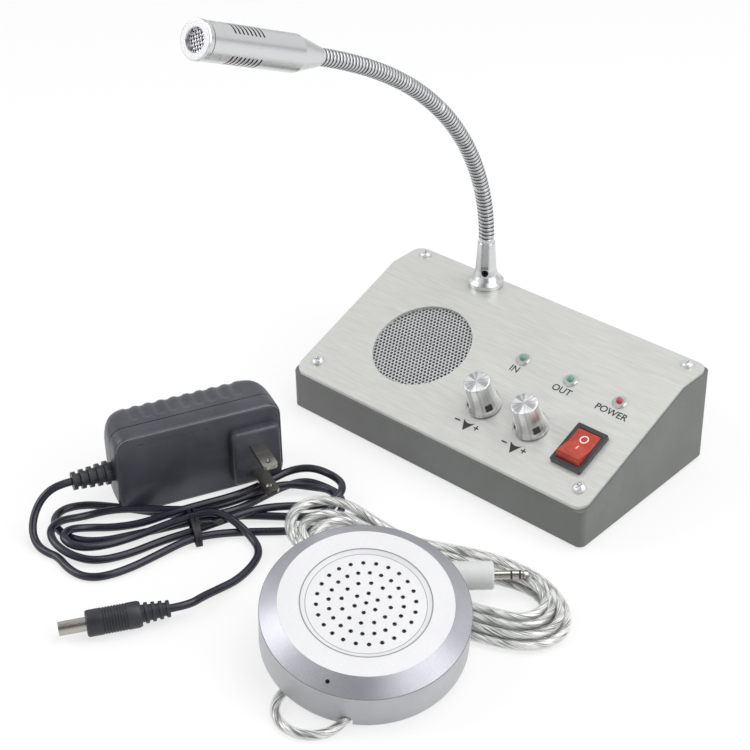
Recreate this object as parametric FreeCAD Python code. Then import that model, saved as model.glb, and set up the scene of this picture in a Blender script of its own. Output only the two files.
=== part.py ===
import FreeCAD, Part
import math
import os

# Teller window intercom: a sloped desk console with a gooseneck microphone, the round customer
# speaker with its clear cord and 3.5 mm plug, and the plug-in power adapter with its cord.
# Millimetres. The origin is the middle of the console's footprint on the desk; X runs right along
# the console's front, Y runs back, Z runs up.

V = FreeCAD.Vector
UP = V(0, 0, 1)
ACROSS = V(1, 0, 0)

# ---- console case ----
CASE_W = 160.0          # across the walls
CASE_D = 87.0           # front to back
FRONT_H = 18.7          # lower edge of the walls to the panel's top, at the front
BACK_H = 44.2           # the same at the back
LEDGE_D = 19.2          # level part of the panel behind the slope
WALL_T = 2.0
CASE_EDGE_R = 3.0       # upright corners of the walls
FOOT_H = 1.5            # rubber feet hold the case off the desk by this much
FOOT_R = 5.0
FOOT_INSET = 18.0       # foot centre from the case's sides
FOOT_INSET_Y = 12.5     # foot centre from its front and back
BASE_T = 1.5
BASE_GAP = 0.1          # base plate to the walls, all round

# ---- panel ----
PANEL_T = 1.5
PANEL_INSET = 0.6       # panel edge inside the walls' faces
PANEL_CORNER_R = 5.0
BEND_R = 1.5            # inside radius of the fold
SCREW_INSET = 8.0       # panel screw from the case's side
FRONT_SCREW_S = 8.8     # front screw up the slope from the front edge
BACK_SCREW_INSET = 5.5  # back screw from the back edge
SCREW_R = 1.5
SCREW_GAP = 0.2         # clearance holes in plates
THREAD_GAP = 0.05       # thread to its pilot hole
SCREW_LEN = 8.0
PAN_HEAD_R = 2.8
PAN_HEAD_H = 1.9
POST_HALF = 4.5         # corner post, screw axis to its free faces
FLAT_HEAD_R = 2.75      # countersunk screws under the base

# ---- loudspeaker in the console ----
SPEAKER_X = -34.85
SPEAKER_S = 38.5        # up the slope
SPEAKER_HOLE_R = 22.5
GRILLE_R = 25.0
GRILLE_T = 0.8
MESH_PITCH = 3.8
MESH_HOLE = 2.6         # across the flats of one hexagon
MESH_MARGIN = 1.9       # solid edge left inside the panel's hole
DRIVER_R = 24.5
DRIVER_DEPTH = 16.5
DRIVER_MAGNET_R = 13.5

# ---- knobs and potentiometers ----
KNOB_S = 24.6
KNOB_XS = (11.0, 36.0)
KNOB_H = 15.0
KNOB_TOP_R = 5.7
KNOB_NECK_R = 6.25      # foot of the tapered grip
KNOB_SKIRT_R = 7.7
KNOB_GAP = 0.5          # under the skirt
POINTER_ANGLE = -26.0   # degrees, clockwise from X as seen from above
POCKET_W = 3.2
POCKET_LOW = 3.0        # pocket's lower edge above the panel
POCKET_HIGH = 5.8
SHAFT_R = 3.0
RUN_GAP = 0.05          # running fit, per side
SHAFT_TOP = 12.0        # above the panel
BUSHING_R = 3.5
BUSHING_TOP = 5.2
POT_R = 8.0
POT_H = 8.0
NUT_AF = 10.0
NUT_H = 1.8

# ---- indicator lamps ----
LED_XS = (11.05, 36.2, 61.3)
LED_S = 52.5
LED_R = 1.5
LED_RISE = 1.4          # dome's foot above the panel
HOLDER_R = 2.6
HOLDER_FLANGE_R = 3.25
HOLDER_FLANGE_H = 1.2
HOLDER_DEPTH = 7.0

# ---- rocker switch ----
SWITCH_X = 60.8
SWITCH_S = 24.6
BEZEL_W = 15.0
BEZEL_L = 21.0
BEZEL_H = 2.0
BEZEL_R = 0.8
SWITCH_BODY_W = 13.0
SWITCH_BODY_L = 19.0
SWITCH_DEPTH = 13.0
SWITCH_GAP = 0.15       # body to the panel's cut-out
ROCKER_W = 11.2
ROCKER_GAP = 0.2        # rocker to the bezel's opening
ROCKER_HALF_L = 7.5     # pivot to the rocker's upper edge
ROCKER_END_H = 3.6
ROCKER_MID_H = 2.4
ROCKER_LOW = 5.0
ROCKER_TILT = 10.0      # degrees, each way from level
TRUNNION_R = 1.2
TRUNNION_L = 0.5
TERMINAL_L = 6.5

# ---- microphone socket on the ledge ----
SOCKET_X = -33.8
SOCKET_Y_FROM_BACK = 8.5
SOCKET_H = 22.1
SOCKET_FLANGE_R = 8.0
SOCKET_FLANGE_H = 3.0
SOCKET_FOOT_R = 4.7     # foot of the tapered stem
SOCKET_FOOT_H = 8.6
SOCKET_TOP_R = 3.85
SOCKET_WASHER_H = 0.9
SOCKET_THREAD_R = 4.9
SOCKET_THREAD_L = 7.0
SOCKET_NUT_AF = 12.0
SOCKET_NUT_H = 3.0
SLOT_ANGLE = -57.0      # degrees from X
SLOT_W = 2.8
SLOT_DEPTH = 1.1
SLOT_LOW = 10.2
GRUB_R = 1.5
GRUB_H = 8.4            # grub screw's height above the ledge
GRUB_LEN = 3.0

# ---- flexible neck ----
NECK_R = 3.5
NECK_LENGTH = 168.2     # socket top to the microphone's rear
NECK_STUB = 0.6         # straight foot under the first hinge
NECK_TURN = 0.6482      # degrees of bend per millimetre at the foot
NECK_EASE = -0.0015     # how the bend eases, degrees per square millimetre
LINKS = 6
JOINT_SWING = 25.0      # degrees that each link turns either way
SEAT_GAP = 0.1
RIM_GAP = 0.15

# ---- microphone head ----
MIC_LENGTH = 64.4
MIC_R = 7.2
MIC_REAR_R = 3.9
MIC_TAPER = 14.0
MIC_WALL = 1.0
MIC_SOCKET_DEPTH = 8.0  # bore that takes the neck
NECK_INSERT = 6.0
BEZEL_LEN = 7.4         # front ring of the microphone
RING_R = 7.35
RING_GAP = 0.5          # dark joint between the body and the ring
RING_WALL = 1.6
RING_SPIGOT = 3.0
MOUTH_R = 4.2
SCREEN_R = 5.4
SCREEN_T = 0.5
CAPSULE_H = 5.0
VENT_COUNT = 8
VENT_PITCH = 2.1
VENT_W = 0.8
VENT_FIRST = 13.6       # first vent behind the front face
VENT_HALF_ANGLE = 30.0
VENT_GROUP_TURN = 69.0  # first of the three vent groups

# ---- inside of the console ----
BOARD_L = 108.0
BOARD_D = 56.0
BOARD_T = 1.6
BOARD_X = -4.0
BOARD_BACK_GAP = 1.5    # board to the back wall
PILLAR_H = 5.0
PILLAR_R = 3.0
PILLAR_INSET = 4.0
DC_INSET = 5.0          # power socket's axis from the board's right end
DC_BODY_W = 9.0
DC_BODY_H = 11.0
DC_BODY_L = 14.0
DC_AXIS_H = 6.5
DC_BORE_R = 3.2
DC_BORE_L = 10.0
DC_PIN_R = 1.05
DC_PIN_L = 9.0
DC_HOLE_R = 4.3
LINE_X = 20.0
LINE_W = 6.0
LINE_H = 6.0
LINE_L = 12.0
LINE_COLLAR_R = 2.8
LINE_BORE_R = 1.8
LINE_BORE_L = 12.5
LINE_GAP = 0.1

# ---- customer speaker ("puck") ----
PUCK_X = 55.17          # middle of its base
PUCK_Y = -144.35
PUCK_R = 39.07
PUCK_BASE_H = 16.3
PUCK_BEVEL_H = 4.77
PUCK_FACE_R = 32.46
PUCK_LEAN = 13.52       # degrees; it leans over its own cord
PUCK_LEAN_TO = -34.06   # direction of the low side, from X
PUCK_WALL = 1.6
PUCK_FLOOR = 1.8
FACE_RING_R = 24.2      # flat ring's inner edge
FACE_DISH_R = 22.3
FACE_DISH = 0.9
FACE_EDGE_T = 1.5
FACE_BACK_STEP = 0.8
FACE_LEDGE = 2.8        # shelf that carries the face
PUCK_GAP = 0.05
HOLE_R = 0.75
HOLE_RING_R = (4.4, 9.1, 13.7, 18.2)
HOLE_RING_COUNTS = (6, 12, 20, 24)
PUCK_DRIVER_R = 24.0
PUCK_DRIVER_DEPTH = 12.5
PUCK_MAGNET_R = 11.0
PUCK_SCREW_RING = 33.0
PUCK_SPIGOT = 2.2
MIC_HOLE_ANGLE = -69.0
MIC_HOLE_R = 0.8
PUCK_MIC_R = 2.0
PUCK_MIC_H = 1.3
TALK_WALL = 0.8         # cover left over the puck's microphone
NOTCH_ANGLE = -57.0
NOTCH_SKEW = -23.0      # the cord leaves aslant of the radius
NOTCH_W = 4.8
NOTCH_H = 5.0
NOTCH_END = 8.5         # cord's end inside the rim
CORD_STOP = 4.0
CORD_EXIT_H = 2.3       # cord over the base at the notch
CORD_BEND_OUT = 0.5     # where it begins to bend, outside the rim

# ---- cords and plugs ----
CLEAR_R = 2.0
BLACK_R = 1.65
LAY_GAP = 0.3
JACK_POINT = (69.8, -86.5, 9.65)        # root of the 3.5 mm pin
JACK_HEADING = V(0.733, 0.68, 0)
JACK_BODY_R = 5.6
JACK_BODY_L = 20.0
JACK_RELIEF_R = 3.5
JACK_RELIEF_L = 10.0
JACK_PIN_R = 1.75
JACK_PIN_L = 14.0
JACK_RING_AT = (6.4, 9.7)
JACK_RING_W = 0.8
JACK_CLEAR_R = 4.6      # free way round the pin, over the hank
JACK_CLEAR_L = 45.0
DC_PLUG_REAR = (-14.5, -178.5, 5.2)
DC_PLUG_HEADING = V(-0.543, -0.84, 0)
DC_RELIEF_L = 11.0
DC_RELIEF_R = 4.1
DC_PLUG_R = 5.2
DC_PLUG_L = 21.0
DC_BARREL_R = 2.75
DC_BARREL_L = 10.5
DC_BARREL_T = 0.45
DC_TIP_BORE_R = 1.15

# ---- power adapter ----
ADAPTER_CORNER = (-76.35, -148.9)    # front left lower corner
ADAPTER_TURN = 65.0
ADAPTER_L = 71.6
ADAPTER_H = 38.0
ADAPTER_D = 28.0
ADAPTER_FRONT_T = 9.0
ADAPTER_FRONT_R = 3.0
ADAPTER_BACK_R = 12.0
ADAPTER_TOP_R = 5.0
GRIP_COUNT = 9
GRIP_FIRST = 11.5
GRIP_PITCH = 5.6
GRIP_W = 1.0
GRIP_DEPTH = 0.7
BLADE_BLOCK_END = 2.2   # block's right side from the case's end
BLADE_BLOCK_W = 21.4
BLADE_BLOCK_LOW = 4.0
BLADE_BLOCK_H = 26.0
BLADE_BLOCK_OUT = 4.5
BLADE_SPACING = 12.7
BLADE_W = 6.35
BLADE_T = 1.5
BLADE_L = 17.5
BLADE_HOLE_R = 1.5
RELIEF_Z = 18.0
RELIEF_L = 17.0
RELIEF_R = 5.0
RELIEF_TIP_R = 3.5
RELIEF_RIBS = 5

# ---- how the cords lie ----
CLEAR_LOOP_LAY = [(74.9, -184.3, 2.0), (71.2, -189.7, 2.0), (65.4, -192.8, 2.0), (58.8, -192.9, 2.0),
                  (52.8, -189.9, 2.0), (48.7, -184.3, 2.0), (47.3, -175.5, 2.0), (44.4, -164.5, 2.0),
                  (40.4, -151.5, 2.0), (37.2, -138.9, 2.0), (35.6, -127.6, 2.0), (36.0, -118.8, 2.0)]
CLEAR_TAIL = [(47.8065, -106.9035, 9.65), (43.0422, -111.3232, 9.65), (38.2, -114.4, 9.0),
              (33.0, -115.9, 8.2)]
POWER_START = [(-91.691, -160.504, 18.0), (-94.65, -166.848, 18.0), (-96.3, -173.4, 14.4),
               (-95.2, -179.0, 9.4), (-91.6, -183.3, 4.9), (-86.2, -185.3, 2.3), (-80.3, -185.1, 1.65),
               (-75.2, -183.2, 1.65)]
POWER_END = [(-33.5, -126.0, 1.7), (-24.6, -124.9, 1.7), (-16.2, -128.3, 1.7), (-12.0, -136.5, 1.7),
             (-10.2, -147.0, 1.7), (-10.9, -156.0, 2.6), (-10.9, -164.5, 4.2), (-10.4285, -172.2014, 5.2),
             (-14.5, -178.5, 5.2)]

HANK_FRONT_Y = -140.0
HANK_BAND_D = 90.0
HANK_LOW_X = 24.0       # clear hank lies on the desk right of here
HANK_LIFT = 7.6         # and on the black hank at its left end
HANK_RING_OUT = 21.4
HANK_RING_IN = 5.5
HANK_FROM = (0.0, -104.0)
HANK_TO = (88.0, -92.0)
HANK_TOP = ((-25, 15.5), (5, 18.2), (30, 16.8), (50, 12.0), (60, 7.6), (115, 7.6))
BLACK_HANK_H = 7.0
BLACK_HANK_R = 3.5
TIE_MIDDLE = (-47.2, -135.2)
TIE_TURN = -33.6        # the band's long side, degrees from X
TIE_HALF = 12.2
TIE_W = 3.5
TIE_T = 1.1
BLACK_OUTER = [(-58.3, -131.4), (-71.0, -143.6), (-77.2, -152.0), (-86.5, -154.0), (-97.0, -160.5),
               (-101.0, -170.5), (-90.5, -177.5), (-79.5, -184.2), (-66.0, -188.0), (-51.5, -184.5),
               (-45.0, -169.5), (-42.5, -152.0), (-39.5, -144.0), (-36.1, -139.0), (-31.0, -125.8),
               (-16.5, -114.6), (-6.0, -105.0), (-4.5, -95.0), (-9.0, -86.0), (-15.0, -79.5),
               (-24.5, -74.7), (-36.5, -76.4), (-44.3, -86.5), (-46.0, -99.0), (-46.0, -112.0),
               (-54.9, -126.4)]
BLACK_HOLES = [[(-53.5, -147.0), (-63.0, -155.5), (-71.0, -163.5), (-74.5, -171.5), (-67.0, -175.5),
                (-60.5, -170.0), (-56.0, -158.0)],
               [(-41.0, -114.0), (-40.0, -99.5), (-35.5, -91.5), (-27.0, -88.5), (-21.5, -92.5),
                (-24.0, -101.0), (-33.0, -110.0)]]


def frame(origin, x_dir, z_dir):
    """Placement at origin whose Z axis is z_dir and whose X axis lies towards x_dir."""
    z = V(z_dir).normalize()
    x = (x_dir - z * x_dir.dot(z)).normalize()
    y = z.cross(x)
    return FreeCAD.Placement(FreeCAD.Matrix(
        x.x, y.x, z.x, origin.x,
        x.y, y.y, z.y, origin.y,
        x.z, y.z, z.z, origin.z,
        0, 0, 0, 1))


def shifted(place, x, y, z=0.0):
    return place.multiply(FreeCAD.Placement(V(x, y, z), FreeCAD.Rotation()))


def put(shape, place):
    moved = shape.copy()
    moved.Placement = place.multiply(shape.Placement)
    return moved


def turned_about(shape, degrees):
    return put(shape, FreeCAD.Placement(V(), FreeCAD.Rotation(UP, degrees)))


def fused(first, *others):
    return first.multiFuse(list(others)).removeSplitter()


def rod(radius, low, high, x=0.0, y=0.0):
    return Part.makeCylinder(radius, high - low, V(x, y, low))


def tube_ring(outer, inner, low, high):
    return rod(outer, low, high).cut(rod(inner, low - 1, high + 1))


def pin(radius, start, direction, length):
    return Part.makeCylinder(radius, length, start, direction)


def rounded(points, radii, closed=True):
    """Wire through the points; each corner with a radius is a tangent arc."""
    count = len(points)
    corners = []
    for i, point in enumerate(points):
        if radii[i] <= 0 or (not closed and i in (0, count - 1)):
            corners.append((point, None, point))
            continue
        back = (points[i - 1] - point).normalize()
        ahead = (points[(i + 1) % count] - point).normalize()
        half = back.getAngle(ahead) / 2
        inward = (back + ahead).normalize()
        middle = point + inward * (radii[i] / math.sin(half) - radii[i])
        reach = radii[i] / math.tan(half)
        corners.append((point + back * reach, middle, point + ahead * reach))
    edges = []
    for i in range(count if closed else count - 1):
        leave = corners[i][2]
        enter, middle, exit_point = corners[(i + 1) % count]
        if (enter - leave).Length > 1e-6:
            edges.append(Part.LineSegment(leave, enter).toShape())
        if middle is not None:
            edges.append(Part.Arc(enter, middle, exit_point).toShape())
    return Part.Wire(edges)


def prism(points, radius, low, high):
    """Upright prism on a plan outline, all its corners rounded by one radius."""
    corners = [V(x, y, low) for x, y in points]
    wire = rounded(corners, [radius] * len(corners))
    return Part.Face(wire).extrude(V(0, 0, high - low))


def block(width, depth, low, high, radius=0.0, x=0.0, y=0.0):
    """Upright block centred on x, y."""
    corners = [(x - width / 2, y - depth / 2), (x + width / 2, y - depth / 2),
               (x + width / 2, y + depth / 2), (x - width / 2, y + depth / 2)]
    return prism(corners, radius, low, high)


def side_prism(points, radii, half_width):
    """Prism on a (y, z) outline, reaching half_width to both sides."""
    wire = rounded([V(-half_width, y, z) for y, z in points], radii)
    return Part.Face(wire).extrude(V(2 * half_width, 0, 0))


def hexagon(across_flats, low, high, x=0.0, y=0.0, sides=6):
    corner = across_flats / 2 / math.cos(math.pi / sides)
    points = []
    for i in range(sides):
        angle = 2 * math.pi * (i + 0.5) / sides
        points.append((x + corner * math.cos(angle), y + corner * math.sin(angle)))
    return prism(points, 0, low, high)


def turned(profile):
    """Solid of revolution about Z of a closed (radius, height) profile."""
    points = [V(r, 0, z) for r, z in profile]
    return Part.Face(Part.makePolygon(points + points[:1])).revolve(V(), UP, 360)


def mirrored_pairs(x, y):
    return [(-x, y), (x, y)]


def export(name, *shapes):
    """Write one node and print its solids and volume."""
    shape = shapes[0] if len(shapes) == 1 else Part.makeCompound(list(shapes))
    os.makedirs("parts", exist_ok=True)
    shape.exportStep("parts/" + name + ".step")
    volume = sum(solid.Volume for solid in shape.Solids)
    print(f"{name:18s} solids {len(shape.Solids):3d}  valid {shape.isValid()}  {volume:10.1f} mm3")
    return shape


# ---- places on the console ----
SLOPE = math.atan2(BACK_H - FRONT_H, CASE_D - LEDGE_D)
FRONT_Y = -CASE_D / 2
BACK_Y = CASE_D / 2
LEDGE_Z = FOOT_H + BACK_H
SLOPE_FRAME = frame(V(0, FRONT_Y, FOOT_H + FRONT_H), ACROSS, V(0, -math.sin(SLOPE), math.cos(SLOPE)))
BACK_SCREW_Y = BACK_Y - BACK_SCREW_INSET
FRONT_SCREW_Y = FRONT_Y + FRONT_SCREW_S * math.cos(SLOPE)
SCREW_X = CASE_W / 2 - SCREW_INSET
BASE_TOP = FOOT_H + BASE_T
PILOT_DEPTH = SCREW_LEN - PANEL_T + 0.8
INNER_W = CASE_W - 2 * WALL_T
INNER_D = CASE_D - 2 * WALL_T
INNER_BACK_Y = BACK_Y - WALL_T
BOARD_LOW = BASE_TOP + PILLAR_H
BOARD_TOP = BOARD_LOW + BOARD_T
BOARD_Y = INNER_BACK_Y - BOARD_BACK_GAP - BOARD_D / 2
DC_X = BOARD_X + BOARD_L / 2 - DC_INSET
DC_Z = BOARD_TOP + DC_AXIS_H
LINE_Z = BOARD_TOP + LINE_H / 2


def on_slope(x, s):
    return shifted(SLOPE_FRAME, x, s)


def panel_line(depth):
    """Side outline points (front, fold, back) of the surface lying depth under the panel's top."""
    fold_y = BACK_Y - LEDGE_D + depth * math.tan(SLOPE / 2)
    return [(FRONT_Y, FOOT_H + FRONT_H - depth / math.cos(SLOPE)),
            (fold_y, LEDGE_Z - depth),
            (BACK_Y, LEDGE_Z - depth)]


def screw_places():
    """Frames of the four panel screws: two square to the slope, two on the ledge."""
    front = [on_slope(x, FRONT_SCREW_S) for x in (-SCREW_X, SCREW_X)]
    back = [frame(V(x, BACK_SCREW_Y, LEDGE_Z), ACROSS, UP) for x in (-SCREW_X, SCREW_X)]
    return front + back


# ---- console case ----
def corner_post(side, y_low, y_high):
    """Post from the screw's free face to the side wall."""
    inner = SCREW_X - POST_HALF
    outer = INNER_W / 2 + WALL_T / 2
    post = Part.makeBox(outer - inner, y_high - y_low, BACK_H, V(inner, y_low, BASE_TOP))
    return post if side > 0 else post.mirror(V(), ACROSS)


def make_housing():
    walls = block(CASE_W, CASE_D, FOOT_H, LEDGE_Z, CASE_EDGE_R)
    walls = walls.cut(block(INNER_W, INNER_D, 0, LEDGE_Z + 1, max(CASE_EDGE_R - WALL_T, 0.2)))
    lean = PILOT_DEPTH * math.sin(SLOPE)
    posts = []
    for side in (-1, 1):
        posts.append(corner_post(side, FRONT_Y + WALL_T / 2, FRONT_SCREW_Y + POST_HALF + lean))
        posts.append(corner_post(side, BACK_SCREW_Y - POST_HALF, BACK_Y - WALL_T / 2))
    front, fold, back = panel_line(PANEL_T)
    under = side_prism([(FRONT_Y - 1, 0), (FRONT_Y - 1, front[1] - math.tan(SLOPE)), fold,
                        (BACK_Y + 1, back[1]), (BACK_Y + 1, 0)], [0, 0, BEND_R, 0, 0], CASE_W)
    housing = fused(walls, *posts).common(under)
    holes = []
    for place in screw_places():
        holes.append(put(rod(SCREW_R + THREAD_GAP, -PANEL_T - PILOT_DEPTH, 1), place))
    for x, y in base_screw_points():
        holes.append(rod(SCREW_R + THREAD_GAP, 0, BASE_TOP + PILOT_DEPTH, x, y))
    holes.append(pin(DC_HOLE_R, V(DC_X, INNER_BACK_Y - 1, DC_Z), V(0, 1, 0), WALL_T + 2))
    holes.append(pin(LINE_COLLAR_R + LINE_GAP, V(LINE_X, INNER_BACK_Y - 1, LINE_Z), V(0, 1, 0), WALL_T + 2))
    return housing.cut(Part.makeCompound(holes))


def make_panel():
    top = panel_line(0.0)
    low = panel_line(PANEL_T)
    outline = top + low[::-1]
    radii = [0, BEND_R + PANEL_T, 0, 0, BEND_R, 0]
    sheet = side_prism(outline, radii, CASE_W / 2)
    plan = block(CASE_W - 2 * PANEL_INSET, CASE_D - 2 * PANEL_INSET, 0, LEDGE_Z + 1, PANEL_CORNER_R)
    sheet = sheet.common(plan)
    reach = PANEL_T + 1
    cuts = [put(rod(SCREW_R + SCREW_GAP, -reach, 1), place) for place in screw_places()]
    cuts.append(put(rod(SPEAKER_HOLE_R, -reach, 1), on_slope(SPEAKER_X, SPEAKER_S)))
    for x in LED_XS:
        cuts.append(put(rod(HOLDER_R + BASE_GAP, -reach, 1), on_slope(x, LED_S)))
    for x in KNOB_XS:
        cuts.append(put(rod(BUSHING_R + BASE_GAP, -reach, 1), on_slope(x, KNOB_S)))
    opening = block(SWITCH_BODY_W + 2 * SWITCH_GAP, SWITCH_BODY_L + 2 * SWITCH_GAP, -reach, 1)
    cuts.append(put(opening, on_slope(SWITCH_X, SWITCH_S)))
    cuts.append(put(rod(SOCKET_THREAD_R + BASE_GAP, -reach, 1), SOCKET_FRAME))
    return sheet.cut(Part.makeCompound(cuts))


def pan_screw():
    head = turned([(0, 0), (PAN_HEAD_R, 0), (PAN_HEAD_R, PAN_HEAD_H * 0.45),
                   (PAN_HEAD_R * 0.82, PAN_HEAD_H * 0.8), (PAN_HEAD_R * 0.45, PAN_HEAD_H), (0, PAN_HEAD_H)])
    return fused(head, rod(SCREW_R, -SCREW_LEN, 0.5))


def base_screw_points():
    return mirrored_pairs(SCREW_X, FRONT_SCREW_Y) + mirrored_pairs(SCREW_X, BACK_SCREW_Y)


def flat_screw():
    """Countersunk screw pointing up, its head flush with z = 0."""
    slant = FLAT_HEAD_R - SCREW_R
    return turned([(0, 0), (FLAT_HEAD_R, 0), (SCREW_R, slant), (SCREW_R, SCREW_LEN - 0.6),
                   (SCREW_R - 0.6, SCREW_LEN), (0, SCREW_LEN)])


def countersink():
    """Cutter for one countersunk screw through a plate that starts at z = 0."""
    slant = FLAT_HEAD_R - SCREW_R
    wide = FLAT_HEAD_R + SCREW_GAP
    return turned([(0, -1), (wide, -1), (wide, 0.05), (wide - slant, slant + 0.05),
                   (SCREW_R + SCREW_GAP, 9), (0, 9)])


def pillar_points():
    x = BOARD_L / 2 - PILLAR_INSET
    y = BOARD_D / 2 - PILLAR_INSET
    return [(BOARD_X + i * x, BOARD_Y + j * y) for i in (-1, 1) for j in (-1, 1)]


def make_base_plate():
    plate = block(INNER_W - 2 * BASE_GAP, INNER_D - 2 * BASE_GAP, FOOT_H, BASE_TOP,
                  max(CASE_EDGE_R - WALL_T, 0.2))
    plate = fused(plate, *[rod(PILLAR_R, BASE_TOP - 0.5, BOARD_LOW, x, y) for x, y in pillar_points()])
    sinks = [put(countersink(), frame(V(x, y, FOOT_H), ACROSS, UP)) for x, y in base_screw_points()]
    return plate.cut(Part.makeCompound(sinks))


def make_feet():
    x = CASE_W / 2 - FOOT_INSET
    y = CASE_D / 2 - FOOT_INSET_Y
    foot = turned([(0, 0), (FOOT_R - 0.4, 0), (FOOT_R, FOOT_H), (0, FOOT_H)])
    corners = [put(foot, frame(V(i * x, j * y, 0), ACROSS, UP)) for i in (-1, 1) for j in (-1, 1)]
    return corners + [foot]


# ---- loudspeakers ----
def mesh_points(pitch, limit):
    """Centres of a hexagonal mesh inside a circle."""
    rows = int(limit / (pitch * 0.866)) + 1
    points = []
    for row in range(-rows, rows + 1):
        y = row * pitch * math.sqrt(3) / 2
        offset = pitch / 2 if row % 2 else 0.0
        for column in range(-rows - 1, rows + 2):
            x = column * pitch + offset
            if math.hypot(x, y) < limit:
                points.append((x, y))
    return points


def make_grille():
    disc = rod(GRILLE_R, -GRILLE_T, 0)
    limit = SPEAKER_HOLE_R - MESH_MARGIN - MESH_HOLE / 2
    holes = [hexagon(MESH_HOLE, -GRILLE_T - 1, 1, x, y) for x, y in mesh_points(MESH_PITCH, limit)]
    return put(disc.cut(Part.makeCompound(holes)), shifted(SLOPE_FRAME, SPEAKER_X, SPEAKER_S, -PANEL_T))


def driver(radius, depth, magnet_r):
    """Basket with magnet, and its cone, hanging down from z = 0."""
    rim = 1.2
    bowl = depth - 7.0
    inner = radius - 3.5
    basket = turned([(inner, 0), (radius, 0), (radius, -rim), (inner + 1.6, -rim), (magnet_r, -bowl),
                     (magnet_r, -depth), (0, -depth), (0, -bowl), (magnet_r - 3, -bowl), (inner, -rim)])
    lip = inner - 0.1
    hub = magnet_r * 0.6
    cone = turned([(0, -bowl + 3.6), (hub, -bowl + 2.4), (lip, -0.4), (lip, -1.0), (hub, -bowl + 1.8),
                   (0, -bowl + 3.0)])
    return basket, cone


# ---- knobs and potentiometers ----
def make_knob():
    low = KNOB_GAP
    flare = [(KNOB_SKIRT_R - 0.3, low), (KNOB_SKIRT_R, low + 0.3), (KNOB_SKIRT_R, 1.9),
             (KNOB_SKIRT_R - 0.55, 2.9), (KNOB_NECK_R + 0.35, 4.7), (KNOB_NECK_R, 6.6)]
    top = low + KNOB_H
    knob = turned([(0, low)] + flare + [(KNOB_TOP_R, top - 0.4), (KNOB_TOP_R - 0.4, top), (0, top)])
    pocket_start = V(KNOB_NECK_R - 0.1, -POCKET_W / 2, POCKET_LOW)
    pockets = []
    for quarter in range(4):
        pocket = Part.makeBox(4, POCKET_W, POCKET_HIGH - POCKET_LOW, pocket_start)
        pockets.append(turned_about(pocket, POINTER_ANGLE + 90 * quarter))
    nut_room = rod(nut_corner(NUT_AF) + 0.45, 0, NUT_H + 0.9)
    bushing_room = rod(BUSHING_R + 0.3, 0, BUSHING_TOP + 0.6)
    shaft_bore = shaft_blank(SHAFT_R + RUN_GAP, 0, SHAFT_TOP + 0.1, RUN_GAP)
    return knob.cut(Part.makeCompound(pockets)).cut(nut_room).cut(bushing_room).cut(shaft_bore)


def nut_corner(across_flats):
    return across_flats / 2 / math.cos(math.pi / 6)


def shaft_blank(radius, low, high, gap=0.0):
    """Round shaft with a flat on its upper part, where the knob grips it."""
    shaft = rod(radius, low, high)
    flat = Part.makeBox(8, 20, high - BUSHING_TOP, V(SHAFT_R * 0.6 + gap, -10, BUSHING_TOP + 0.4 - gap))
    return shaft.cut(turned_about(flat, POINTER_ANGLE + 180))


def make_pot():
    """Potentiometer: drum, bushing and the wafer with its terminals."""
    top = -PANEL_T
    body = rod(POT_R, top - POT_H, top)
    wafer = Part.makeBox(11, POT_R + 4, 1.2, V(-5.5, -POT_R - 4, top - POT_H / 2))
    pot = fused(body, rod(BUSHING_R, top - 1, BUSHING_TOP), wafer)
    return pot.cut(rod(SHAFT_R + RUN_GAP, top - POT_H + 1.5, BUSHING_TOP + 1))


def make_nut(across_flats, bore, low, high):
    return hexagon(across_flats, low, high).cut(rod(bore, low - 1, high + 1))


# ---- lamps ----
def make_led_holder():
    bore = LED_R + RUN_GAP
    return turned([(bore, -HOLDER_DEPTH), (HOLDER_R, -HOLDER_DEPTH), (HOLDER_R, 0), (HOLDER_FLANGE_R, 0),
                   (HOLDER_FLANGE_R, HOLDER_FLANGE_H * 0.5), (HOLDER_FLANGE_R - 0.6, HOLDER_FLANGE_H),
                   (bore, HOLDER_FLANGE_H)])


def make_led():
    body = rod(LED_R, -HOLDER_DEPTH, LED_RISE)
    dome = Part.makeSphere(LED_R, V(0, 0, LED_RISE)).common(rod(LED_R + 1, LED_RISE, LED_RISE + LED_R + 1))
    return fused(body, dome)


# ---- rocker switch ----
ROCKER_R = math.hypot(ROCKER_HALF_L, ROCKER_END_H)
OPENING_W = ROCKER_W + 2 * ROCKER_GAP
OPENING_L = 2 * (ROCKER_R + ROCKER_GAP)


def make_switch_body():
    bezel = block(BEZEL_W, BEZEL_L, 0, BEZEL_H, BEZEL_R)
    box = block(SWITCH_BODY_W, SWITCH_BODY_L, -SWITCH_DEPTH, 0.5)
    body = fused(bezel, box).cut(block(OPENING_W, OPENING_L, -SWITCH_DEPTH + 1.2, BEZEL_H + 1))
    reach = ROCKER_W / 2 + TRUNNION_L + 0.1
    return body.cut(pin(TRUNNION_R + RUN_GAP, V(-reach, 0, 0), ACROSS, 2 * reach))


def make_terminals():
    return [Part.makeBox(4.8, 0.8, TERMINAL_L, V(-2.4, s, -SWITCH_DEPTH - TERMINAL_L)) for s in (-7, -0.4, 6)]


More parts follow.
